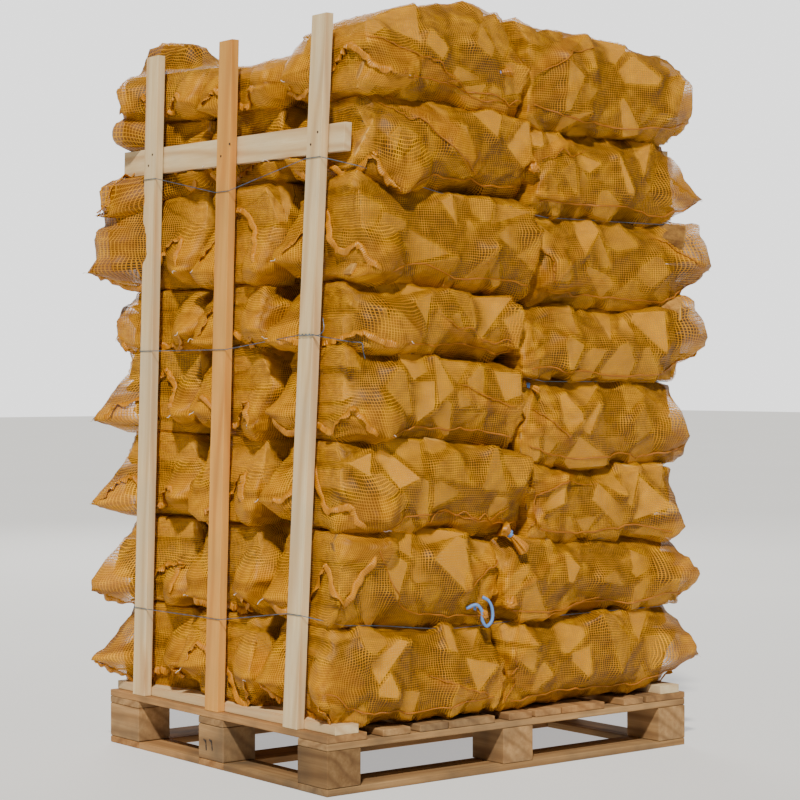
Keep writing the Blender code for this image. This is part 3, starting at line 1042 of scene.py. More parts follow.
def sack_outline(sack):
    """The sack's front outline: its ends, and the layer's own lower and upper faces."""
    top_room = TOP_ROOM if sack.layer == LAYERS - 1 else SINK_UP
    floor_room = DECK_ROOM if sack.layer == 0 else SINK_DOWN
    lower, upper = [], []
    for share in (i / (OUTLINE_STEPS - 1) for i in range(OUTLINE_STEPS)):
        for z, run in ((sack.z_low, lower), (sack.z_high, upper)):
            x = sack.outer_x(z) * (1 - share) + sack.inner_x * share
            low, high = sack.heights(x)
            run.append((x, low + floor_room if run is lower else high - top_room))
    outline = convex(lower + upper)
    xs, zs = [p[0] for p in outline], [p[1] for p in outline]
    for x, z in ((min(xs), min(zs)), (max(xs), min(zs)), (min(xs), max(zs)), (max(xs), max(zs))):
        away = (1 if x == max(xs) else -1, 1 if z == max(zs) else -1)
        turn = sack.rng.uniform(0.35, 1.2)
        normal = (away[0] * math.cos(turn), away[1] * math.sin(turn))
        is_inner = abs(x - sack.inner_x) < 0.05
        trim = sack.rng.uniform(*(INNER_TRIM if is_inner else OUTER_TRIM))
        if sack.row == 2:
            trim *= BACK_TRIM_SHARE
        if sack.layer == LAYERS - 1 and away[1] > 0:
            continue
        outline = cut(outline, (x - away[0] * trim, z), normal)
    return outline


def leaned(sack, shape):
    """An outer log, turned about its middle and pushed back behind the timber's inner face."""
    rng = sack.rng
    shape = turned(shape, rng.uniform(-0.28, 0.28), rng.uniform(0.90, 0.98))
    corners = [
        (a[0] + (b[0] - a[0]) * share, a[1] + (b[1] - a[1]) * share)
        for a, b in zip(shape, shape[1:] + shape[:1])
        for share in (0.0, 0.25, 0.5, 0.75)
    ]
    beyond = max((x - sack.outer_x(z)) * sack.side for x, z in corners)
    back = -sack.side * (max(beyond, 0.0) + rng.uniform(0.0, 0.012))
    return [(x + back, z) for x, z in shape]


def add_slanted_log(bm, sack, ends, thick, number, number_layer):
    """A log drawn out along Y as the others are, then turned onto its own middle line."""
    rng = sack.rng
    start, end = (Vector(point) for point in ends)
    first = rng.uniform(0.0, 1.2)
    turns = [first + i * math.tau / 5 + rng.uniform(-0.12, 0.12) for i in range(5)]
    shape = [(thick * 0.8 * math.cos(turn), thick * math.sin(turn)) for turn in turns]
    half = (end - start).length / 2
    tilts = [(rng.uniform(-0.2, 0.2), rng.uniform(-0.2, 0.2)) for _ in range(2)]
    faces = add_log(bm, shape, [], (-half, half), (0.0, 0.0), tilts, number, number_layer)
    turn = Vector((0.0, 1.0, 0.0)).rotation_difference(end - start)
    for vert in {vert for face in faces for vert in face.verts}:
        vert.co = turn @ vert.co + (start + end) / 2
    return faces


def fill_sack(bm, sack, number_layer, first_number):
    """Adds a sack's logs to a bmesh, and lists the flat sides of each for the net."""
    rng = sack.rng
    logs = []
    z_middle = (sack.z_low + sack.z_high) / 2
    for number, shape in enumerate(split_outline(rng, sack_outline(sack))):
        shape = shrink(shape, LOG_APART)
        if len(shape) < 3 or outline_area(shape) < LOG_SLIVER:
            continue
        middle = outline_middle(shape)
        at_end = abs(middle[0] - sack.outer_x(z_middle)) < END_ZONE
        if at_end:
            shape = leaned(sack, shape)
        else:
            shape = turned(shape, rng.uniform(-0.20, 0.20), rng.uniform(0.87, 1.0))
        barked = []
        on_top = sack.layer == LAYERS - 1 and middle[1] > z_middle
        if rng.random() < (TOP_BARK_SHARE if on_top else BARK_SHARE):
            shape, barked = round_side(shape)
        height = (middle[1] - z_middle) / (sack.z_high - sack.z_low) * 2
        ends = [sack.y_low + LOG_ROOM, sack.y_high - LOG_ROOM]
        tilts = [(0.0, 0.0), (0.0, 0.0)]
        for end, sign in ((0, 1), (1, -1)):
            free = (sack.row == 0 and end == 0) or (sack.row == 2 and end == 1)
            least, most = FREE_SPREAD if free else INNER_SPREAD
            rounding = (FREE_ROUNDING if free else INNER_ROUNDING) * height**2
            rounding += END_ROUNDING if at_end else 0.0
            ends[end] += sign * (least + (most - least) * rng.random() ** 1.5 + rounding)
            up_slant = sign * (height * rng.uniform(0.3, 0.9) + rng.uniform(-0.20, 0.20))
            tilts[end] = (rng.uniform(-0.36, 0.36), up_slant)
        drift = (rng.uniform(-0.016, 0.016), rng.uniform(-0.006, 0.006))
        if at_end:
            drift = (-sack.side * rng.uniform(0.0, 0.018), drift[1])
        faces = add_log(bm, shape, barked, ends, drift, tilts, first_number + number, number_layer)
        logs.append(flat_sides(faces))
        verts = list({vert for face in faces for vert in face.verts})
        moved = flared(sack, np.array([vert.co[:] for vert in verts]))
        for vert, place in zip(verts, moved):
            vert.co = place
    slanted = [log[3:] for log in SLANTED_LOGS if log[:3] == (sack.layer, sack.column, sack.row)]
    for number, (start, end, thick) in enumerate(slanted, first_number + SLANTED_NUMBERS):
        faces = add_slanted_log(bm, sack, (start, end), thick, number, number_layer)
        logs.append(flat_sides(faces))
    return logs


def finish_logs(bm, name):
    """Bevels a layer's logs and gives each its own tone and its own place in the grain."""
    bmesh.ops.recalc_face_normals(bm, faces=bm.faces)
    bevelled(bm, bm.edges[:], LOG_EDGE)
    piece = link_mesh(name, bm, firewood, bark)
    mesh = piece.data
    numbers = read_back(mesh.attributes["log"].data, "value", 1, np.int32)
    totals = read_back(mesh.polygons, "loop_total", 1, np.int32)
    owner = np.zeros(len(mesh.vertices), dtype=np.int32)
    owner[corner_points(mesh)] = np.repeat(numbers, totals)
    count = numbers.max() + 1
    places = vertex_places(mesh)
    weights = np.maximum(np.bincount(owner, minlength=count), 1)
    middles = np.stack([np.bincount(owner, places[:, i], count) / weights for i in range(3)], 1)
    draw = np.random.default_rng(5)
    shifts = draw.uniform(-0.06, 0.06, (count, 3)) * (1, 40, 1)  # the most along the grain
    write_attribute(mesh, "grain", "FLOAT_VECTOR", places - middles[owner] + shifts[owner])
    write_attribute(mesh, "tone", "FLOAT", draw.uniform(0.0, 1.0, count)[owner])
    cut_ends = np.abs(face_normals(mesh)[:, 1]) > CUT_END_FACING
    mesh.attributes.new("cut_end", "FLOAT", "FACE").data.foreach_set(
        "value", cut_ends.astype(np.float32)
    )
    belongs(piece)
    return piece


# %% [markdown]
# ## Wrapping the nets
# A net sack pulls tight over the logs inside it and spans the hollows between them. The skin
# starts as a finely divided box. Each of its points has a ray out of the sack's middle, and the
# last log on that ray says how far out the net must be. The points then even themselves out
# with their neighbours many times over, and never go below their log: what is left is a skin
# stretched over the corners that stick out, as the real net is. Cloth simulation would find the
# same shape far more slowly for 48 sacks, so it isn't used.

# %% Wrapping the nets
NET_CLEAR = 0.0020
CORE_MARGIN = 0.075
STRETCH_ROUNDS = 90
STRETCH_STEP = 0.85  # of the way to its neighbours' mean that a point moves in each round
NEIGHBOUR_DIP = 0.003  # how far below its neighbours' logs a point may lie
LOOSE_DEEPEST = 0.05
HOLLOW_DEEP = 0.014  # from the net to the log, where the holes are at their darkest


class Cage:
    """A divided box, with the neighbours of each of its points."""

    def __init__(self, cuts, bias):
        bm = bmesh.new()
        bmesh.ops.create_cube(bm, size=1.0)
        for axis, count in enumerate(cuts):
            edges = [
                e for e in bm.edges if abs(e.verts[0].co[axis] - e.verts[1].co[axis]) > 1e-6
            ]
            bmesh.ops.subdivide_edges(bm, edges=edges, cuts=count, use_grid_fill=True)
        self.mesh = bpy.data.meshes.new("cage")
        bmesh.ops.recalc_face_normals(bm, faces=bm.faces)
        bm.to_mesh(self.mesh)
        bm.free()
        self.share = np.clip(vertex_places(self.mesh) + 0.5, 0.0, 1.0)
        self.share[:, 0] = self.share[:, 0] ** bias
        pairs = read_back(self.mesh.edges, "vertices", 2, np.int32)
        count = len(self.share)
        self.beside = np.tile(np.arange(count)[:, None], (1, 4))
        taken = np.zeros(count, dtype=np.int32)
        for a, b in np.concatenate((pairs, pairs[:, ::-1])):
            self.beside[a, taken[a]] = b
            taken[a] += 1
        print("cage", cuts, "has", count, "points")


CAGES = {
    "side": Cage((72, 18, 28), 1.0),
    "middle": Cage((26, 28, 26), 1.8),
    "top": Cage((66, 30, 26), 1.0),
}


def log_limits(origins, rays, logs):
    """How far along each ray the last log ends; minus infinity where no log is met."""
    far = np.full(len(origins), -np.inf)
    for normals, offsets in logs:
        facing = rays @ normals.T
        room = offsets + NET_CLEAR - origins @ normals.T
        with np.errstate(divide="ignore", invalid="ignore"):
            steps = room / facing
        leave = np.where(facing > 1e-9, steps, np.inf).min(axis=1)
        enter = np.where(facing < -1e-9, steps, -np.inf).max(axis=1)
        missed = ((np.abs(facing) <= 1e-9) & (room < 0)).any(axis=1)
        hit = (leave > enter) & (leave > 0) & ~missed
        far = np.where(hit, np.maximum(far, leave), far)
    return far


def stretch_net(cage, low, high, logs, mirrored):
    """The net's points at rest and over the logs, their rays, how free each is, and its painted
    shade.
    """
    share = cage.share.copy()
    if mirrored:
        share[:, 0] = 1.0 - share[:, 0]
    rest = low + share * (high - low)
    margin = np.minimum(CORE_MARGIN, 0.42 * (high - low))
    core = np.clip(rest, low + margin, high - margin)
    rays = rest - core
    reach = np.linalg.norm(rays, axis=1)
    rays /= reach[:, None]
    bare = log_limits(core, rays, logs)
    nearby = bare[cage.beside].max(axis=1)
    nearby -= NEIGHBOUR_DIP + 0.3 * np.clip(nearby - reach - 0.06, 0.0, None)
    held = np.maximum(bare, nearby)  # so that no corner pokes out
    height = np.maximum(held, reach * 0.75)
    for _ in range(STRETCH_ROUNDS):
        place = core + rays * height[:, None]
        wanted = ((place[cage.beside].mean(axis=1) - core) * rays).sum(axis=1)
        height = np.maximum(held, height + STRETCH_STEP * (wanted - height))
    place = core + rays * height[:, None]
    wanted = ((place[cage.beside].mean(axis=1) - core) * rays).sum(axis=1)
    height += 0.5 * np.clip(height - wanted, 0.0, 0.004)
    free = np.clip(height - np.where(np.isfinite(held), held, 0.0), 0.0, LOOSE_DEEPEST)
    # The shade painted into the net where it hangs clear of its logs, darkest at HOLLOW_DEEP
    depth = height - np.where(np.isfinite(bare), bare, 0.0)
    hollow_shade = np.clip(depth / HOLLOW_DEEP - 0.3, 0.0, 1.0)
    hollow_shade = (hollow_shade * 2 + hollow_shade[cage.beside].mean(axis=1)) / 3
    return rest, core + rays * height[:, None], rays, free, hollow_shade


def ripple(points, scale, seed):
    """Smooth noise between -1 and 1 at each point."""
    shift = Vector((seed * 3.1, seed * 1.7, seed * 0.9))
    return np.array([noise.noise(Vector(p) * scale + shift) for p in points])


def draw_ear(points, rays, near, tip):
    """Draws the skin out to an ear's tip. Returns the moved points and how far each was drawn."""
    base = points[np.linalg.norm(points - near, axis=1).argmin()]
    away = points - base
    reaches = np.tile(EAR_REACH, (len(points), 1))
    reaches[:, 2] = np.where(away[:, 2] < 0, EAR_REACH_DOWN, EAR_REACH[2])
    pull = np.clip(1.0 - np.linalg.norm(away / reaches, axis=1), 0.0, 1.0) ** 0.95
    flat = np.zeros_like(points)
    flat[:, 2] = -away[:, 2] * 0.5 * pull
    slack = rays * (EAR_SLACK * np.clip(pull * 5.0, 0.0, 1.0))[:, None]
    return points + (tip - base) * pull[:, None] + flat + slack, pull


def band_profile(points, line, wide):
    """A fold's height over its width: steep at the line and falling off to the left of it."""
    spots = points[:, (0, 2)]
    line = np.array(line)
    nearest = np.full(len(spots), np.inf)
    across, along, gone = np.zeros(len(spots)), np.zeros(len(spots)), 0.0
    for a, b in zip(line, line[1:]):
        step = b - a
        length = np.linalg.norm(step)
        share = np.clip(((spots - a) @ step) / length**2, 0.0, 1.0)
        away = spots - (a + share[:, None] * step)
        distance = np.linalg.norm(away, axis=1)
        left = np.sign(step[0] * away[:, 1] - step[1] * away[:, 0])
        closer = distance < nearest
        nearest = np.where(closer, distance, nearest)
        across = np.where(closer, distance * left, across)
        along = np.where(closer, gone + share * length, along)
        gone += length
    edge = np.clip(across / FOLD_EDGE + 0.5, 0.0, 1.0)
    fall = np.clip((wide - across) / (0.7 * wide), 0.0, 1.0)
    ends = np.clip((gone - along) / (0.3 * gone), 0.0, 1.0)
    return edge * fall * ends * (nearest < wide), across


def weave_map(mesh, rest, offset):
    """Writes the weave's UV map: metres along the two ways that each face lies in."""
    flat = np.repeat(np.abs(face_normals(mesh)).argmax(axis=1), 4)
    loops = corner_points(mesh)
    first = np.where(flat == 0, 1, 0)
    second = np.where(flat == 2, 1, 2)
    spots = np.stack((rest[loops, first], rest[loops, second]), axis=1) + offset
    layer = mesh.uv_layers.new(name="weave")
    layer.data.foreach_set("uv", np.ascontiguousarray(spots, dtype=np.float32).ravel())


print("nets are stretched in", STRETCH_ROUNDS, "rounds")

# %% [markdown]
# ## Ears, necks and folds
# A net sack is sewn flat across its bottom, so its two bottom corners stick out as ears. Its
# mouth is gathered and tied, and folds run from the neck over the sack. All of them are moves
# of the skin's points: towards an ear's tip, outwards along ridges that fan out from the neck,
# and outwards in a band with one crisp edge for each broad fold on the load's front.

# %% Ears, necks and folds
# By layer, the X and Z of the ears' tips that show in the outline, and of the ears that lie on
# the load's front
RIGHT_EARS = {
    0: (0.652, 0.239),
    1: (0.640, 0.449),
    4: (0.672, 1.078),
    5: (0.690, 1.288),
    6: (0.664, 1.478),
}
LEFT_EARS = {
    0: (-0.655, 0.229),
    1: (-0.655, 0.421),
    2: (-0.655, 0.655),
    3: (-0.652, 0.882),
    5: (-0.668, 1.280),
    6: (-0.650, 1.440),
}
FRONT_EARS = {
    1: (-0.470, 0.590),
    2: (-0.467, 0.640),
    3: (-0.440, 0.862),
    4: (-0.385, 1.090),
    5: (-0.440, 1.262),
    6: (-0.403, 1.452),
    7: (-0.397, 1.735),
}
EAR_REACH = np.array((0.110, 0.095, 0.105))
EAR_REACH_DOWN = 0.062
EAR_SLACK = 0.012  # how far the net stands off the logs beside an ear
CORNER_EAR_Y = 0.485  # from the load's middle, of the ears that show in the outline
FOLD_EDGE = 0.006  # the width of a broad fold's steep side
FOLD_HIGH = 0.0050
RIPPLES, CREASES = 38.0, 90.0  # to a metre


def sack_ears(sack, low, high):
    """The base and the tip of each of a sack's two ears, the front one first."""
    rng = sack.rng
    ears = []
    for near in (True, False):
        y = (low[1] + 0.035) if near else (high[1] - 0.035)
        share = 0.45 if sack.layer == 0 else rng.uniform(0.15, 0.40)
        z = sack.z_low + (sack.z_high - sack.z_low) * share
        x = low[0] if sack.side < 0 else high[0]
        out = rng.uniform(0.022, 0.042)
        tip = [x + sack.side * out, y + rng.uniform(-0.015, 0.015), z - 0.010]
        if sack.column == 0 and sack.row == 2 and not near and sack.layer in LEFT_EARS:
            tip = [LEFT_EARS[sack.layer][0], CORNER_EAR_Y, LEFT_EARS[sack.layer][1]]
            y, z = CORNER_EAR_Y - 0.030, tip[2] + 0.018
        if sack.column == 1 and sack.row == 0 and near and sack.layer in RIGHT_EARS:
            tip = [RIGHT_EARS[sack.layer][0], -CORNER_EAR_Y, RIGHT_EARS[sack.layer][1]]
            y, z = 0.030 - CORNER_EAR_Y, tip[2] + 0.018
        if sack.column == 0 and sack.row == 0 and near and sack.layer in FRONT_EARS:
            x, z = FRONT_EARS[sack.layer]
            tip = [x + 0.012, low[1] - 0.016, z - 0.008]
            x, y = x - 0.025, low[1] + 0.01
        ears.append((np.array((x, y, z)), np.array(tip)))
    return ears


def neck_place(sack, low, high):
    """Where the sack's mouth is tied: low down at its inner end, near the front."""
    y = low[1] + 0.02 if sack.row == 0 else (high[1] - 0.02 if sack.row == 2 else 0.0)
    share = sack.rng.uniform(0.18, 0.45)
    return np.array((sack.inner_x, y, sack.z_low + (sack.z_high - sack.z_low) * share))


def fold_strength(sack, rest, neck):
    """Ridges that fan out from the neck: how much each point rises, and how gathered it is."""
    rng = sack.rng
    away = rest - neck
    distance = np.linalg.norm(away, axis=1) + 1e-6
    turn = np.arctan2(away[:, 2], sack.side * away[:, 0])
    gather = np.zeros(len(rest))
    rise = np.zeros(len(rest))
    for _ in range(rng.randint(3, 6)):
        middle = math.pi + rng.uniform(-1.25, 1.25) if sack.side < 0 else rng.uniform(-1.25, 1.25)
        width = rng.uniform(0.05, 0.11)
        reach = rng.uniform(0.16, 0.42)
        swing = turn - middle - 0.25 * np.sin(distance * 9.0)
        swing = (swing + math.pi) % (2 * math.pi) - math.pi
        fade = np.clip(1.0 - distance / reach, 0.0, 1.0) ** 0.7
        ridge = np.exp(-((swing / (width + 0.006 / distance)) ** 2)) * fade
        rise += ridge * rng.uniform(0.003, 0.008)
        gather = np.maximum(gather, ridge * rng.uniform(0.5, 1.0))
    gather = np.maximum(gather, np.clip(1.15 - distance / 0.075, 0.0, 1.0))
    pleats = np.cos(turn * 15.0 + distance * 20.0) * np.exp(-distance / 0.06)
    return rise + 0.003 * pleats, gather


def behind_rail(sack, points):
    """Keeps the points that lie at the rail's height on the load's side of the rail."""
    low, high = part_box(f"{SIDES[sack.column]}_rail")
    ys = np.linspace(low[1], high[1], 8)
    faces = np.interp(points[:, 1], ys, [rail_face(sack.column, y) for y in ys])
    level = np.abs(points[:, 2] - RAIL_MIDDLE) < (high[2] - low[2]) / 2 + 0.004
    level &= (points[:, 1] > low[1] - 0.004) & (points[:, 1] < high[1] + 0.006)
    limit = faces - sack.side * 0.003
    beyond = (points[:, 0] - limit) * sack.side > 0
    moved = points.copy()
    moved[:, 0] = np.where(level & beyond, limit, points[:, 0])
    return moved


def make_net(sack, logs):
    """A sack's skin: stretched over its logs, rippled where it is loose, drawn out at its ears."""
    kind = "top" if sack.layer == LAYERS - 1 else ("middle" if sack.row == 1 else "side")
    cage = CAGES[kind]
    rng = sack.rng
    ends = sorted((sack.outer_x((sack.z_low + sack.z_high) / 2), sack.inner_x))
    low = np.array((ends[0] - 0.004, sack.y_low, sack.z_low))
    high = np.array((ends[1] + 0.004, sack.y_high, sack.z_high))
    mirrored = sack.column == 1
    rest, place, rays, free, hollow_shade = stretch_net(cage, low, high, logs, mirrored)
    place = flared(sack, place)
    ears = sack_ears(sack, low, high)
    neck = neck_place(sack, low, high)
    rise, gather = fold_strength(sack, rest, neck)
    drawn = ((place - rest) * rays).sum(axis=1)  # how far the net stands out of its box
    gather = np.maximum(gather, np.clip((drawn - 0.03) / 0.05, 0.0, 0.62))
    seed = rng.uniform(0, 50)
    wave = ripple(rest, RIPPLES, seed) * (0.0016 + 0.14 * free)
    wave = wave + ripple(rest, CREASES, seed) * 0.0013
    place = place + rays * (wave + rise * (0.3 if sack.row == 1 else 1.0))[:, None]
    for line, wide in sack.folds:
        profile, across = band_profile(place, line, wide)
        profile = profile * (place[:, 1] < sack.y_low + 0.12)
        lift = FOLD_HIGH + 0.0012 * np.sin(across * 700.0)
        place = place + rays * (profile * lift)[:, None]
        gather = np.maximum(gather, profile**0.5)
    for near, tip in ears:
        place, pull = draw_ear(place, rays, near, tip)
        gather = np.maximum(gather, np.clip((pull - 0.16) * 3.0, 0.0, 0.66))
    if sack.layer == RAIL_LAYER:
        place = behind_rail(sack, place)
    place = np.clip(place, SOFT_LOW, SOFT_HIGH)
    mesh = cage.mesh.copy()
    mesh.vertices.foreach_set("co", rest.ravel())
    if mirrored:
        mesh.flip_normals()
    mesh.update()
    weave_map(mesh, rest, rng.uniform(0.0, 3.0))
    mesh.vertices.foreach_set("co", place.ravel())
    mesh.polygons.foreach_set("use_smooth", np.ones(len(mesh.polygons), dtype=bool))
    write_attribute(mesh, "gather", "FLOAT", gather)
    write_attribute(mesh, "hollow_shade", "FLOAT", hollow_shade)
    rng.random()  # one draw passed over, which keeps the hems and threads as they are
    mesh.materials.append(net_look)
    mesh.update()
    net = placed(f"sack_net_{sack.name}", mesh)
    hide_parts(f"sack_layer_{sack.layer + 1}")
    belongs(net)
    sack.middle = (low + high) / 2
    sack.low, sack.high, sack.ears, sack.neck = low, high, ears, neck
    sack.tree = BVHTree.FromPolygons(place.tolist(), [tuple(p.vertices) for p in mesh.polygons])


# %% Filling and wrapping each layer
sacks = []
for layer in range(LAYERS):
    bm = bmesh.new()
    number_layer = bm.faces.layers.int.new("log")
    count = 0
    for column, row in ((c, r) for c in (0, 1) for r in (0, 1, 2)):
        sack = Sack(layer, column, row)
        logs = fill_sack(bm, sack, number_layer, count)
        make_net(sack, logs)
        sacks.append(sack)
        count += SACK_NUMBERS
    finish_logs(bm, f"firewood_{layer + 1}")
    print("layer", layer + 1, "is filled and wrapped")

# %% [markdown]
# ## Hems, cords and folds
# The bottom seam of each sack is a rolled hem of several layers of net. It wanders over the
# logs from one ear to the other, catches the light and casts a thin shadow, so it needs a shape
# of its own: a flattened tube, laid on the net along a smooth line and standing off it at a
# slant. The same tube, thinner and rounder, makes the side seams, the cords along the edges of
# the front's broad folds, the twine and the ends of thread. The folds themselves are raised
# bands of the skin, as the cell above makes them.

# %% Hems, cords and folds


HEM_POINTS, SEAM_POINTS, CORD_POINTS = 96, 70, 46
HEM_SIDES, SEAM_SIDES, TWINE_SIDES = 7, 5, 6
HEM_WIDE, HEM_THICK = 0.0185, 0.0034
HEM_LEAN = 1.18  # radians from the net's outward direction
SEAM_THICK, CORD_THICK = 0.0030, 0.0028


def smooth_path(points, count):
    """Points along a smooth line that goes through the given ones."""
    points = np.array(points, dtype=float)
    steps = np.linalg.norm(np.diff(points, axis=0), axis=1)
    knots = np.concatenate(([0.0], np.cumsum(steps)))
    slopes = np.gradient(points, knots, axis=0)
    at = np.linspace(0.0, knots[-1], count)
    k = np.clip(np.searchsorted(knots, at, side="right") - 1, 0, len(points) - 2)
    span = (knots[k + 1] - knots[k])[:, None]
    t = ((at - knots[k]) / (knots[k + 1] - knots[k]))[:, None]
    first = (2 * t**3 - 3 * t**2 + 1) * points[k] + (t**3 - 2 * t**2 + t) * span * slopes[k]
    last = (3 * t**2 - 2 * t**3) * points[k + 1] + (t**3 - t**2) * span * slopes[k + 1]
    return first + last


def laid_on(sack, path, lift):
    """Moves a line onto the sack's net, and gives the net's outward direction along it."""
    places, normals = [], []
    for point in path:
        place, normal = sack.tree.find_nearest(Vector(point))[:2]
        if normal.dot(place - Vector(sack.middle)) < 0:
            normal = -normal
        places.append(place + normal * lift)
        normals.append(normal)
    return blurred(np.array(places), 1), unit(blurred(np.array(normals), 3))


def blurred(rows, rounds):
    for _ in range(rounds):
        inner = (rows[:-2] + rows[1:-1] * 2 + rows[2:]) / 4
        rows = np.concatenate((rows[:1], inner, rows[-1:]))
    return rows


def unit(rows):
    return rows / np.maximum(np.linalg.norm(rows, axis=1), 1e-9)[:, None]


def grid_points(bm, across, along):
    """A flat grid's points, in rows along it: [along][across]."""
    verts = bmesh.ops.create_grid(bm, x_segments=along, y_segments=across, size=0.5)["verts"]
    rows = [[None] * (across + 1) for _ in range(along + 1)]
    for vert in verts:
        i, j = round((vert.co.x + 0.5) * along), round((vert.co.y + 0.5) * across)
        rows[i][j] = vert
    return rows


def map_grid(bm, rows, lengths, widths):
    """Gives a grid's faces their place on the weave: metres along it and across it."""
    spots = {
        vert: (lengths[i], widths[j]) for i, row in enumerate(rows) for j, vert in enumerate(row)
    }
    weave = bm.loops.layers.uv.get("weave") or bm.loops.layers.uv.new("weave")
    faces = {face for row in rows for vert in row for face in vert.link_faces}
    for face in faces:
        for loop in face.loops:
            loop[weave].uv = spots[loop.vert]


def add_tube(bm, rings):
    """A closed tube through rings of points: a grid rolled up, merged at its seam and ends."""
    count, sides = rings.shape[:2]
    rows = grid_points(bm, sides, count - 1)
    lengths = np.concatenate(
        ([0.0], np.cumsum(np.linalg.norm(np.diff(rings.mean(axis=1), axis=0), axis=1)))
    )
    map_grid(bm, rows, lengths, np.linspace(0.0, 0.03, sides + 1))
    for i, row in enumerate(rows):
        for j, vert in enumerate(row):
            vert.co = rings[i][j % sides]
    verts = [vert for row in rows for vert in row]
    bmesh.ops.remove_doubles(bm, verts=verts, dist=1e-6)
    loose = [e for e in bm.edges if e.is_boundary]
    bmesh.ops.holes_fill(bm, edges=loose, sides=sides)


def tube_rings(path, normals, wide, thick, lean, sides):
    """Rings of a flattened tube that stands off a surface, wide away from it."""
    along = unit(np.gradient(path, axis=0))
    side = np.cross(normals, along)
    side *= np.where(side[:, 2:3] > 0, -1.0, 1.0)
    out = unit(normals * np.cos(lean)[:, None] + side * np.sin(lean)[:, None])
    flat = unit(np.cross(along, out))
    turns = np.arange(sides) * 2 * math.pi / sides
    middle = path + out * (wide / 2)[:, None]
    reach = out[:, None, :] * np.cos(turns)[None, :, None] * (wide / 2)[:, None, None]
    depth = flat[:, None, :] * np.sin(turns)[None, :, None] * (thick / 2)[:, None, None]
    return middle[:, None, :] + reach + depth


def wander(rng, count, size, rounds=4):
    """Smooth random numbers, one for each point of a line."""
    rough = np.array([[rng.uniform(-1.0, 1.0)] for _ in range(count)])
    smooth = blurred(rough, rounds)[:, 0]
    return size * smooth / max(np.abs(smooth).max(), 1e-6)


# How high the hem runs over a sack's end, as shares of the sack's height, at a fifth, at half and
# at four fifths of the way from its front ear to its back one
HEM_WAYS = (
    (0.12, 0.10, 0.16),
    (0.30, 0.74, 0.34),
    (0.62, 0.36, 0.14),
    (0.14, 0.40, 0.66),
    (0.36, 0.12, 0.40),
    (0.10, 0.26, 0.10),
)


def add_hem(bm, sack):
    """The bottom seam, from the front ear over the sack's end to the back ear."""
    rng = sack.rng
    (_, first), (_, last) = sack.ears
    end_x = sack.low[0] if sack.side < 0 else sack.high[0]
    height = sack.z_high - sack.z_low
    controls = []
    if sack.row == 0 and sack.column == 0 and sack.layer in FRONT_EARS:
        corner = (end_x + 0.01, sack.y_low, sack.z_low + height * rng.uniform(0.2, 0.4))
        controls.append(((first[0] + end_x) / 2, sack.y_low, (first[2] + corner[2]) / 2))
        controls.append(corner)
    way = rng.choice(HEM_WAYS)
    for share, rise in zip((0.2, 0.5, 0.8), way):
        z = sack.z_low + height * (rise + rng.uniform(-0.06, 0.06))
        y = sack.y_low + (sack.y_high - sack.y_low) * share
        controls.append((end_x, y + rng.uniform(-0.02, 0.02), z))
    count = HEM_POINTS
    path = smooth_path([first, *controls, last], count)
    on_net, normals = laid_on(sack, path, 0.0)
    share = np.linspace(0.0, 1.0, count)
    held = np.clip(np.minimum(share, 1 - share) / 0.08, 0.0, 1.0)[:, None]
    path = on_net * held + path * (1 - held)
    path[:, 2] += wander(rng, count, 0.0030, 1)
    path += normals * wander(rng, count, 0.0016, 1)[:, None]
    beat = np.cumsum(rng.uniform(0.7, 1.1) + wander(rng, count, 0.45, 2))
    frill = np.sin(beat + rng.uniform(0, 6))
    wide = HEM_WIDE + wander(rng, count, 0.0045) + frill * 0.0022
    wide *= np.clip(np.minimum(share, 1 - share) / 0.07, 0.3, 1.0)
    thick = HEM_THICK + wander(rng, count, 0.0010, 1)
    lean = HEM_LEAN + wander(rng, count, 0.25) + frill * 0.24
    add_tube(bm, tube_rings(path, normals, wide, thick, lean, HEM_SIDES))


def add_seam(bm, sack):
    """The side seam, a thin cord low along the sack's free side, from its ear to its neck."""
    rng = sack.rng
    ear = sack.ears[0][1] if sack.row == 0 else sack.ears[1][1]
    y = sack.y_low if sack.row == 0 else sack.y_high
    height = sack.z_high - sack.z_low
    controls = [ear]
    for share in (0.25, 0.5, 0.75, 0.95):
        x = ear[0] + (sack.inner_x - ear[0]) * share
        low = layer_heights(sack.layer, x, y)[0]
        controls.append((x, y, low + height * rng.uniform(0.07, 0.20)))
    path, normals = laid_on(sack, smooth_path(controls, SEAM_POINTS), 0.0004)
    size = SEAM_THICK + wander(rng, SEAM_POINTS, 0.0009)
    lean = 1.2 + wander(rng, SEAM_POINTS, 0.3)
    add_tube(bm, tube_rings(path, normals, size * 1.5, size, lean, SEAM_SIDES))


def add_neck(bm, sack, place, towards, size):
    """The gathered mouth: a pleated funnel that narrows at its tie and flares beyond it."""
    rng = sack.rng
    place, towards = np.array(place), np.array(towards) / np.linalg.norm(towards)
    stations = np.linspace(0.0, 1.0, 12)
    radii = np.interp(stations, (0.0, 0.18, 0.32, 0.42, 0.7, 0.93, 1.0), (34, 20, 8, 10, 19, 24, 6))
    across = unit(np.cross([towards], [(0.1, 0.2, 1.0)]))[0]
    upward = np.cross(across, towards)
    sides = 28
    turns = np.arange(sides) * 2 * math.pi / sides
    phase = rng.uniform(0, 6)
    rings = []
    for share, radius in zip(stations, radii):
        pleats = 1.0 + (0.10 + 0.16 * share) * np.cos(turns * 7 + phase + share)
        pleats += 0.08 * np.cos(turns * 3 + phase * 2)
        droop = np.array((0.0, 0.0, -0.25 * size * share**2))
        spread = size / 0.09 * 0.001 * radius * pleats
        ring = place + towards * size * share + droop
        rings.append(
            ring
            + across * (np.cos(turns) * spread)[:, None]
            + upward * (np.sin(turns) * spread * 0.75)[:, None]
        )
    add_tube(bm, np.array(rings))
    return place + towards * size * 0.32


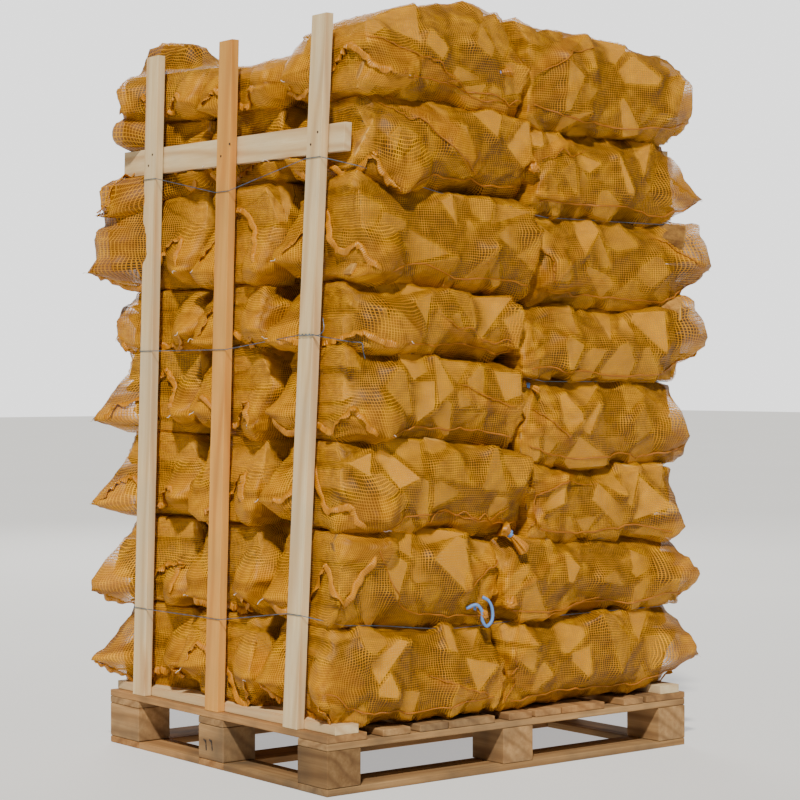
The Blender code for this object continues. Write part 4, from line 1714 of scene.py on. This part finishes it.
def add_twine(bm, controls, radius, count, sides=TWINE_SIDES):
    """A length of round twine along a smooth line."""
    path = smooth_path(controls, count)
    along = unit(np.gradient(path, axis=0))
    normals = unit(np.cross(along, np.tile((0.3, 0.5, 0.8), (count, 1))))
    size = np.full(count, radius * 2)
    add_tube(bm, tube_rings(path - normals * radius, normals, size, size, np.zeros(count), sides))


def add_knot(bm, place, towards, radius, twine_radius):
    """Two turns of twine round a neck."""
    towards = np.array(towards) / np.linalg.norm(towards)
    across = unit(np.cross([towards], [(0.1, 0.2, 1.0)]))[0]
    upward = np.cross(across, towards)
    turns = np.linspace(0.0, 4 * math.pi, 40)
    path = (
        place
        + across * (np.cos(turns) * radius)[:, None]
        + upward * (np.sin(turns) * radius * 0.75)[:, None]
        + towards * ((turns / (4 * math.pi) - 0.5) * twine_radius * 3)[:, None]
    )
    add_twine(bm, path, twine_radius, 60)


def finish_soft(bm, name, look):
    for vert in bm.verts:
        vert.co = np.clip(vert.co, SOFT_LOW, SOFT_HIGH)
    bmesh.ops.recalc_face_normals(bm, faces=bm.faces)
    for face in bm.faces:
        face.smooth = True
    piece = link_mesh(name, bm, look)
    belongs(piece)
    return piece


# %% Placing the hems and seams
by_place = {(sack.layer, sack.column, sack.row): sack for sack in sacks}
seam_mesh = bmesh.new()
for layer in range(LAYERS):
    bm = bmesh.new()
    for sack in (s for s in sacks if s.layer == layer):
        add_hem(bm, sack)
        if sack.row != 1:
            add_seam(seam_mesh, sack)
    finish_soft(bm, f"sack_hems_{layer + 1}", hem_look)
finish_soft(seam_mesh, "side_seams", shaded_seam_look)
print("hems laid on", len(sacks), "sacks")

# %% Placing the cords on the folds
bm = bmesh.new()
for sack in sacks:
    for line, wide in sack.folds:
        path = smooth_path([(x, sack.y_low - 0.03, z) for x, z in line], CORD_POINTS)
        path, normals = laid_on(sack, path, 0.0)
        size = CORD_THICK + wander(sack.rng, CORD_POINTS, 0.0009)
        size *= np.interp(np.linspace(0, 1, CORD_POINTS), (0, 0.06, 0.8, 1), (0.4, 1, 1, 0.3))
        lean = 1.0 + wander(sack.rng, CORD_POINTS, 0.3)
        add_tube(bm, tube_rings(path, normals, size * 1.3, size, lean, SEAM_SIDES))
finish_soft(bm, "fold_cords", shaded_seam_look)
print(len(FRONT_FOLDS), "folds on the front")

# %% [markdown]
# ## Necks, ties and threads
# A few of the tied mouths come out between the two columns of sacks at the front. Each is a
# pleated funnel with two turns of blue twine round it, and one tie hangs out in a loop. The
# white threads are the ends of the stitching at the ears.

# %% Necks, ties and threads
# The layer and column, the neck's place (X, Y, Z), the way it points and its length
NECKS = (
    (7, 0, (-0.070, -0.478, 1.752), (0.55, -0.45, 0.30), 0.060),
    (2, 0, (-0.045, -0.490, 0.612), (0.75, -0.35, -0.55), 0.075),
    (1, 0, (-0.150, -0.486, 0.425), (0.35, -0.55, -0.20), 0.050),
    (5, 0, (-0.010, -0.462, 1.425), (0.25, -0.50, -0.20), 0.045),
    (3, 0, (0.050, -0.460, 0.975), (0.40, -0.50, -0.10), 0.045),
    (6, 1, (0.085, -0.468, 1.560), (-0.5, -0.45, -0.35), 0.060),
    (1, 1, (0.000, -0.478, 0.470), (-0.5, -0.40, -0.40), 0.070),
)
TWINE, LOOP_TWINE, THREAD = 0.0024, 0.0042, 0.0009  # radii
TIE_SHARE = 0.105  # a tied neck's radius, of its length
BACK_NECK = 0.06
THREAD_CHANCE = 0.5
neck_mesh, tie_mesh = bmesh.new(), bmesh.new()
for layer, column, place, towards, size in NECKS:
    tie = add_neck(neck_mesh, by_place[layer, column, 0], place, towards, size)
    add_knot(tie_mesh, tie, towards, size * TIE_SHARE + TWINE, TWINE)
for sack in (s for s in sacks if s.row == 2 and (s.layer + s.column) % 3 == 0):
    place = (sack.inner_x, 0.472, sack.neck[2])
    towards = (-0.4 * sack.side, 0.8, -0.4)
    tie = add_neck(neck_mesh, sack, place, towards, BACK_NECK)
    add_knot(tie_mesh, tie, towards, BACK_NECK * TIE_SHARE + TWINE, TWINE)
LOOP = (
    *((-0.172, -0.500, 0.420), (-0.150, -0.516, 0.428), (-0.138, -0.520, 0.412)),
    *((-0.136, -0.520, 0.388), (-0.124, -0.521, 0.374), (-0.108, -0.521, 0.384)),
    *((-0.104, -0.520, 0.412), (-0.116, -0.517, 0.438), (-0.128, -0.510, 0.446)),
)
add_twine(tie_mesh, LOOP, LOOP_TWINE, 48)
finish_soft(neck_mesh, "sack_necks", hem_look)
finish_soft(tie_mesh, "neck_ties", blue_twine)

thread_mesh = bmesh.new()
for sack in sacks:
    for base, tip in sack.ears:
        rng = sack.rng
        if rng.random() < THREAD_CHANCE:
            continue
        points = [tip]
        step = unit(np.array([tip - base]))[0] * 0.004
        for _ in range(4):
            turn = np.array([rng.uniform(-1, 1) for _ in range(3)]) * 0.005
            points.append(points[-1] + step + turn)
        add_twine(thread_mesh, points, THREAD, 12, 4)
finish_soft(thread_mesh, "thread_ends", white_twine)
print("necks:", len(NECKS), "at the front")

# %% [markdown]
# ## Nails
# Each rail is nailed to its uprights with two nails at every crossing, and the pallet's boards
# are nailed to the blocks. A nail's head is a low disc with a bevelled rim, set a hair deep.

# %% Nails


RAIL_NAIL, DECK_NAIL = 0.0033, 0.0040  # radii
NAIL_HIGH = 0.0014


def add_nail(bm, place, normal, radius):
    rim = bmesh.ops.create_cone(
        bm, cap_ends=True, segments=14, radius1=radius, radius2=radius * 0.9, depth=NAIL_HIGH
    )["verts"]
    turn = Vector((0, 0, 1)).rotation_difference(Vector(normal))
    for vert in rim:
        vert.co = turn @ vert.co + Vector(place)


nail_mesh = bmesh.new()
nail_draw = random.Random(3)
for side, name in enumerate(SIDES):
    rail_low, rail_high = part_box(f"{name}_rail")
    for row in range(3):
        low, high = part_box(f"{name}_upright_{row + 1}")
        for share in (0.3, 0.7):
            y = low[1] + (high[1] - low[1]) * (share + nail_draw.uniform(-0.08, 0.08))
            z = rail_low[2] + (rail_high[2] - rail_low[2]) * (1.0 - share)
            start = outwards(side) * 2 + Vector((0.0, y, z))
            hit = upright_trees[side, row].ray_cast(start, -outwards(side))[0]
            if hit:
                add_nail(nail_mesh, hit, outwards(side), RAIL_NAIL)
for number in range(1, 10):
    low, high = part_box(f"deck_board_{number}")
    for y in (-0.44, 0.0, 0.43):
        for share in (0.25, 0.75):
            x = low[0] + (high[0] - low[0]) * share + nail_draw.uniform(-0.006, 0.006)
            place = (x, y + nail_draw.uniform(-0.015, 0.015), high[2])
            add_nail(nail_mesh, place, UP, DECK_NAIL)
bmesh.ops.recalc_face_normals(nail_mesh, faces=nail_mesh.faces)
nails = link_mesh("nail_heads", nail_mesh, nail_look)
belongs(nails)

# %% [markdown]
# ## Wires
# The three wires are thin, so their construction shape stays and only the finish is new. The
# ends of the middle wire are twisted together beside the near upright, and stick out.

# %% Wires
for name in ("wire_low", "wire_middle", "wire_top"):
    for slot in nodes[name].material_slots:
        slot.material = wire_look

TWIST = (-0.5545, -0.318, 1.0972)  # where the twisted stretch starts
TWIST_LONG, TWIST_RADIUS, TWIST_TURNS = 0.058, 0.0018, 4
WIRE_RADIUS = 0.0011
WIRE_TAILS = (
    (
        *((-0.555, -0.376, 1.097), (-0.551, -0.402, 1.096)),
        *((-0.546, -0.409, 1.104), (-0.540, -0.401, 1.137)),
    ),
    (
        *((-0.510, -0.478, 1.078), (-0.496, -0.500, 1.074)),
        *((-0.497, -0.505, 1.056), (-0.492, -0.506, 1.038)),
    ),
)
turns = np.linspace(0.0, TWIST_TURNS * 2 * math.pi, 60)
strand = np.stack(
    (
        TWIST[0] + TWIST_RADIUS * np.cos(turns),
        TWIST[1] - TWIST_LONG * turns / turns[-1],
        TWIST[2] + TWIST_RADIUS * np.sin(turns),
    ),
    axis=1,
)
wire_ends_mesh = bmesh.new()
add_twine(wire_ends_mesh, strand, WIRE_RADIUS, 80)
for tail in WIRE_TAILS:
    add_twine(wire_ends_mesh, tail, WIRE_RADIUS, 18)
finish_soft(wire_ends_mesh, "wire_ends", wire_look)

# %% [markdown]
# ## The number on a block
# The middle block of the near panel's side carries a plain number, stencilled by hand in dark
# paint: two upright strokes, each with a short one at its head. They are thin plates that stand
# a hair off the wood.

# %% The number on a block
# Each long stroke's middle (Y, Z) and how far it leans, in radians
STROKES = (
    (0.0235, 0.0550, 0.10),
    (-0.0035, 0.0575, 0.16),
)
STROKE_LONG, STROKE_WIDE = 0.0270, 0.0042
FLAG_LONG, FLAG_WIDE = 0.0120, 0.0036  # the short stroke at a long one's head
FLAG_ASIDE, FLAG_UP, FLAG_TURN = 0.0062, 0.40, 0.95
PAINT_THICK, PAINT_OUT = 0.0008, 0.0002


def black_paint():
    finish = Finish("black_paint")
    place = finish.object_place()
    worn = finish.noise(place, 240.0, 3.0)
    colour = finish.mix(worn.above(0.55, 0.2), paint(34, 30, 28), paint(88, 68, 50))
    finish.surface(base_color=colour, roughness=worn * 0.2 + 0.6)
    return finish.material


def add_stroke(bm, y, z, long, wide, lean):
    """A bar of paint on the block's outer face, leaned from the upright."""
    bar = bmesh.ops.create_cube(bm, size=1.0)["verts"]
    for vert in bar:
        across, up = vert.co.y * wide, vert.co.z * long
        vert.co = Vector(
            (
                block_face - PAINT_OUT + vert.co.x * PAINT_THICK,
                y + across * math.cos(lean) + up * math.sin(lean),
                z + up * math.cos(lean) - across * math.sin(lean),
            )
        )


block_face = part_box("block_2_1")[0][0]
number_mesh = bmesh.new()
for y, z, lean in STROKES:
    add_stroke(number_mesh, y, z, STROKE_LONG, STROKE_WIDE, lean)
    y, z = y + FLAG_ASIDE, z + STROKE_LONG * FLAG_UP
    add_stroke(number_mesh, y, z, FLAG_LONG, FLAG_WIDE, lean + FLAG_TURN)
number = link_mesh("block_number", number_mesh, black_paint())
belongs(number)
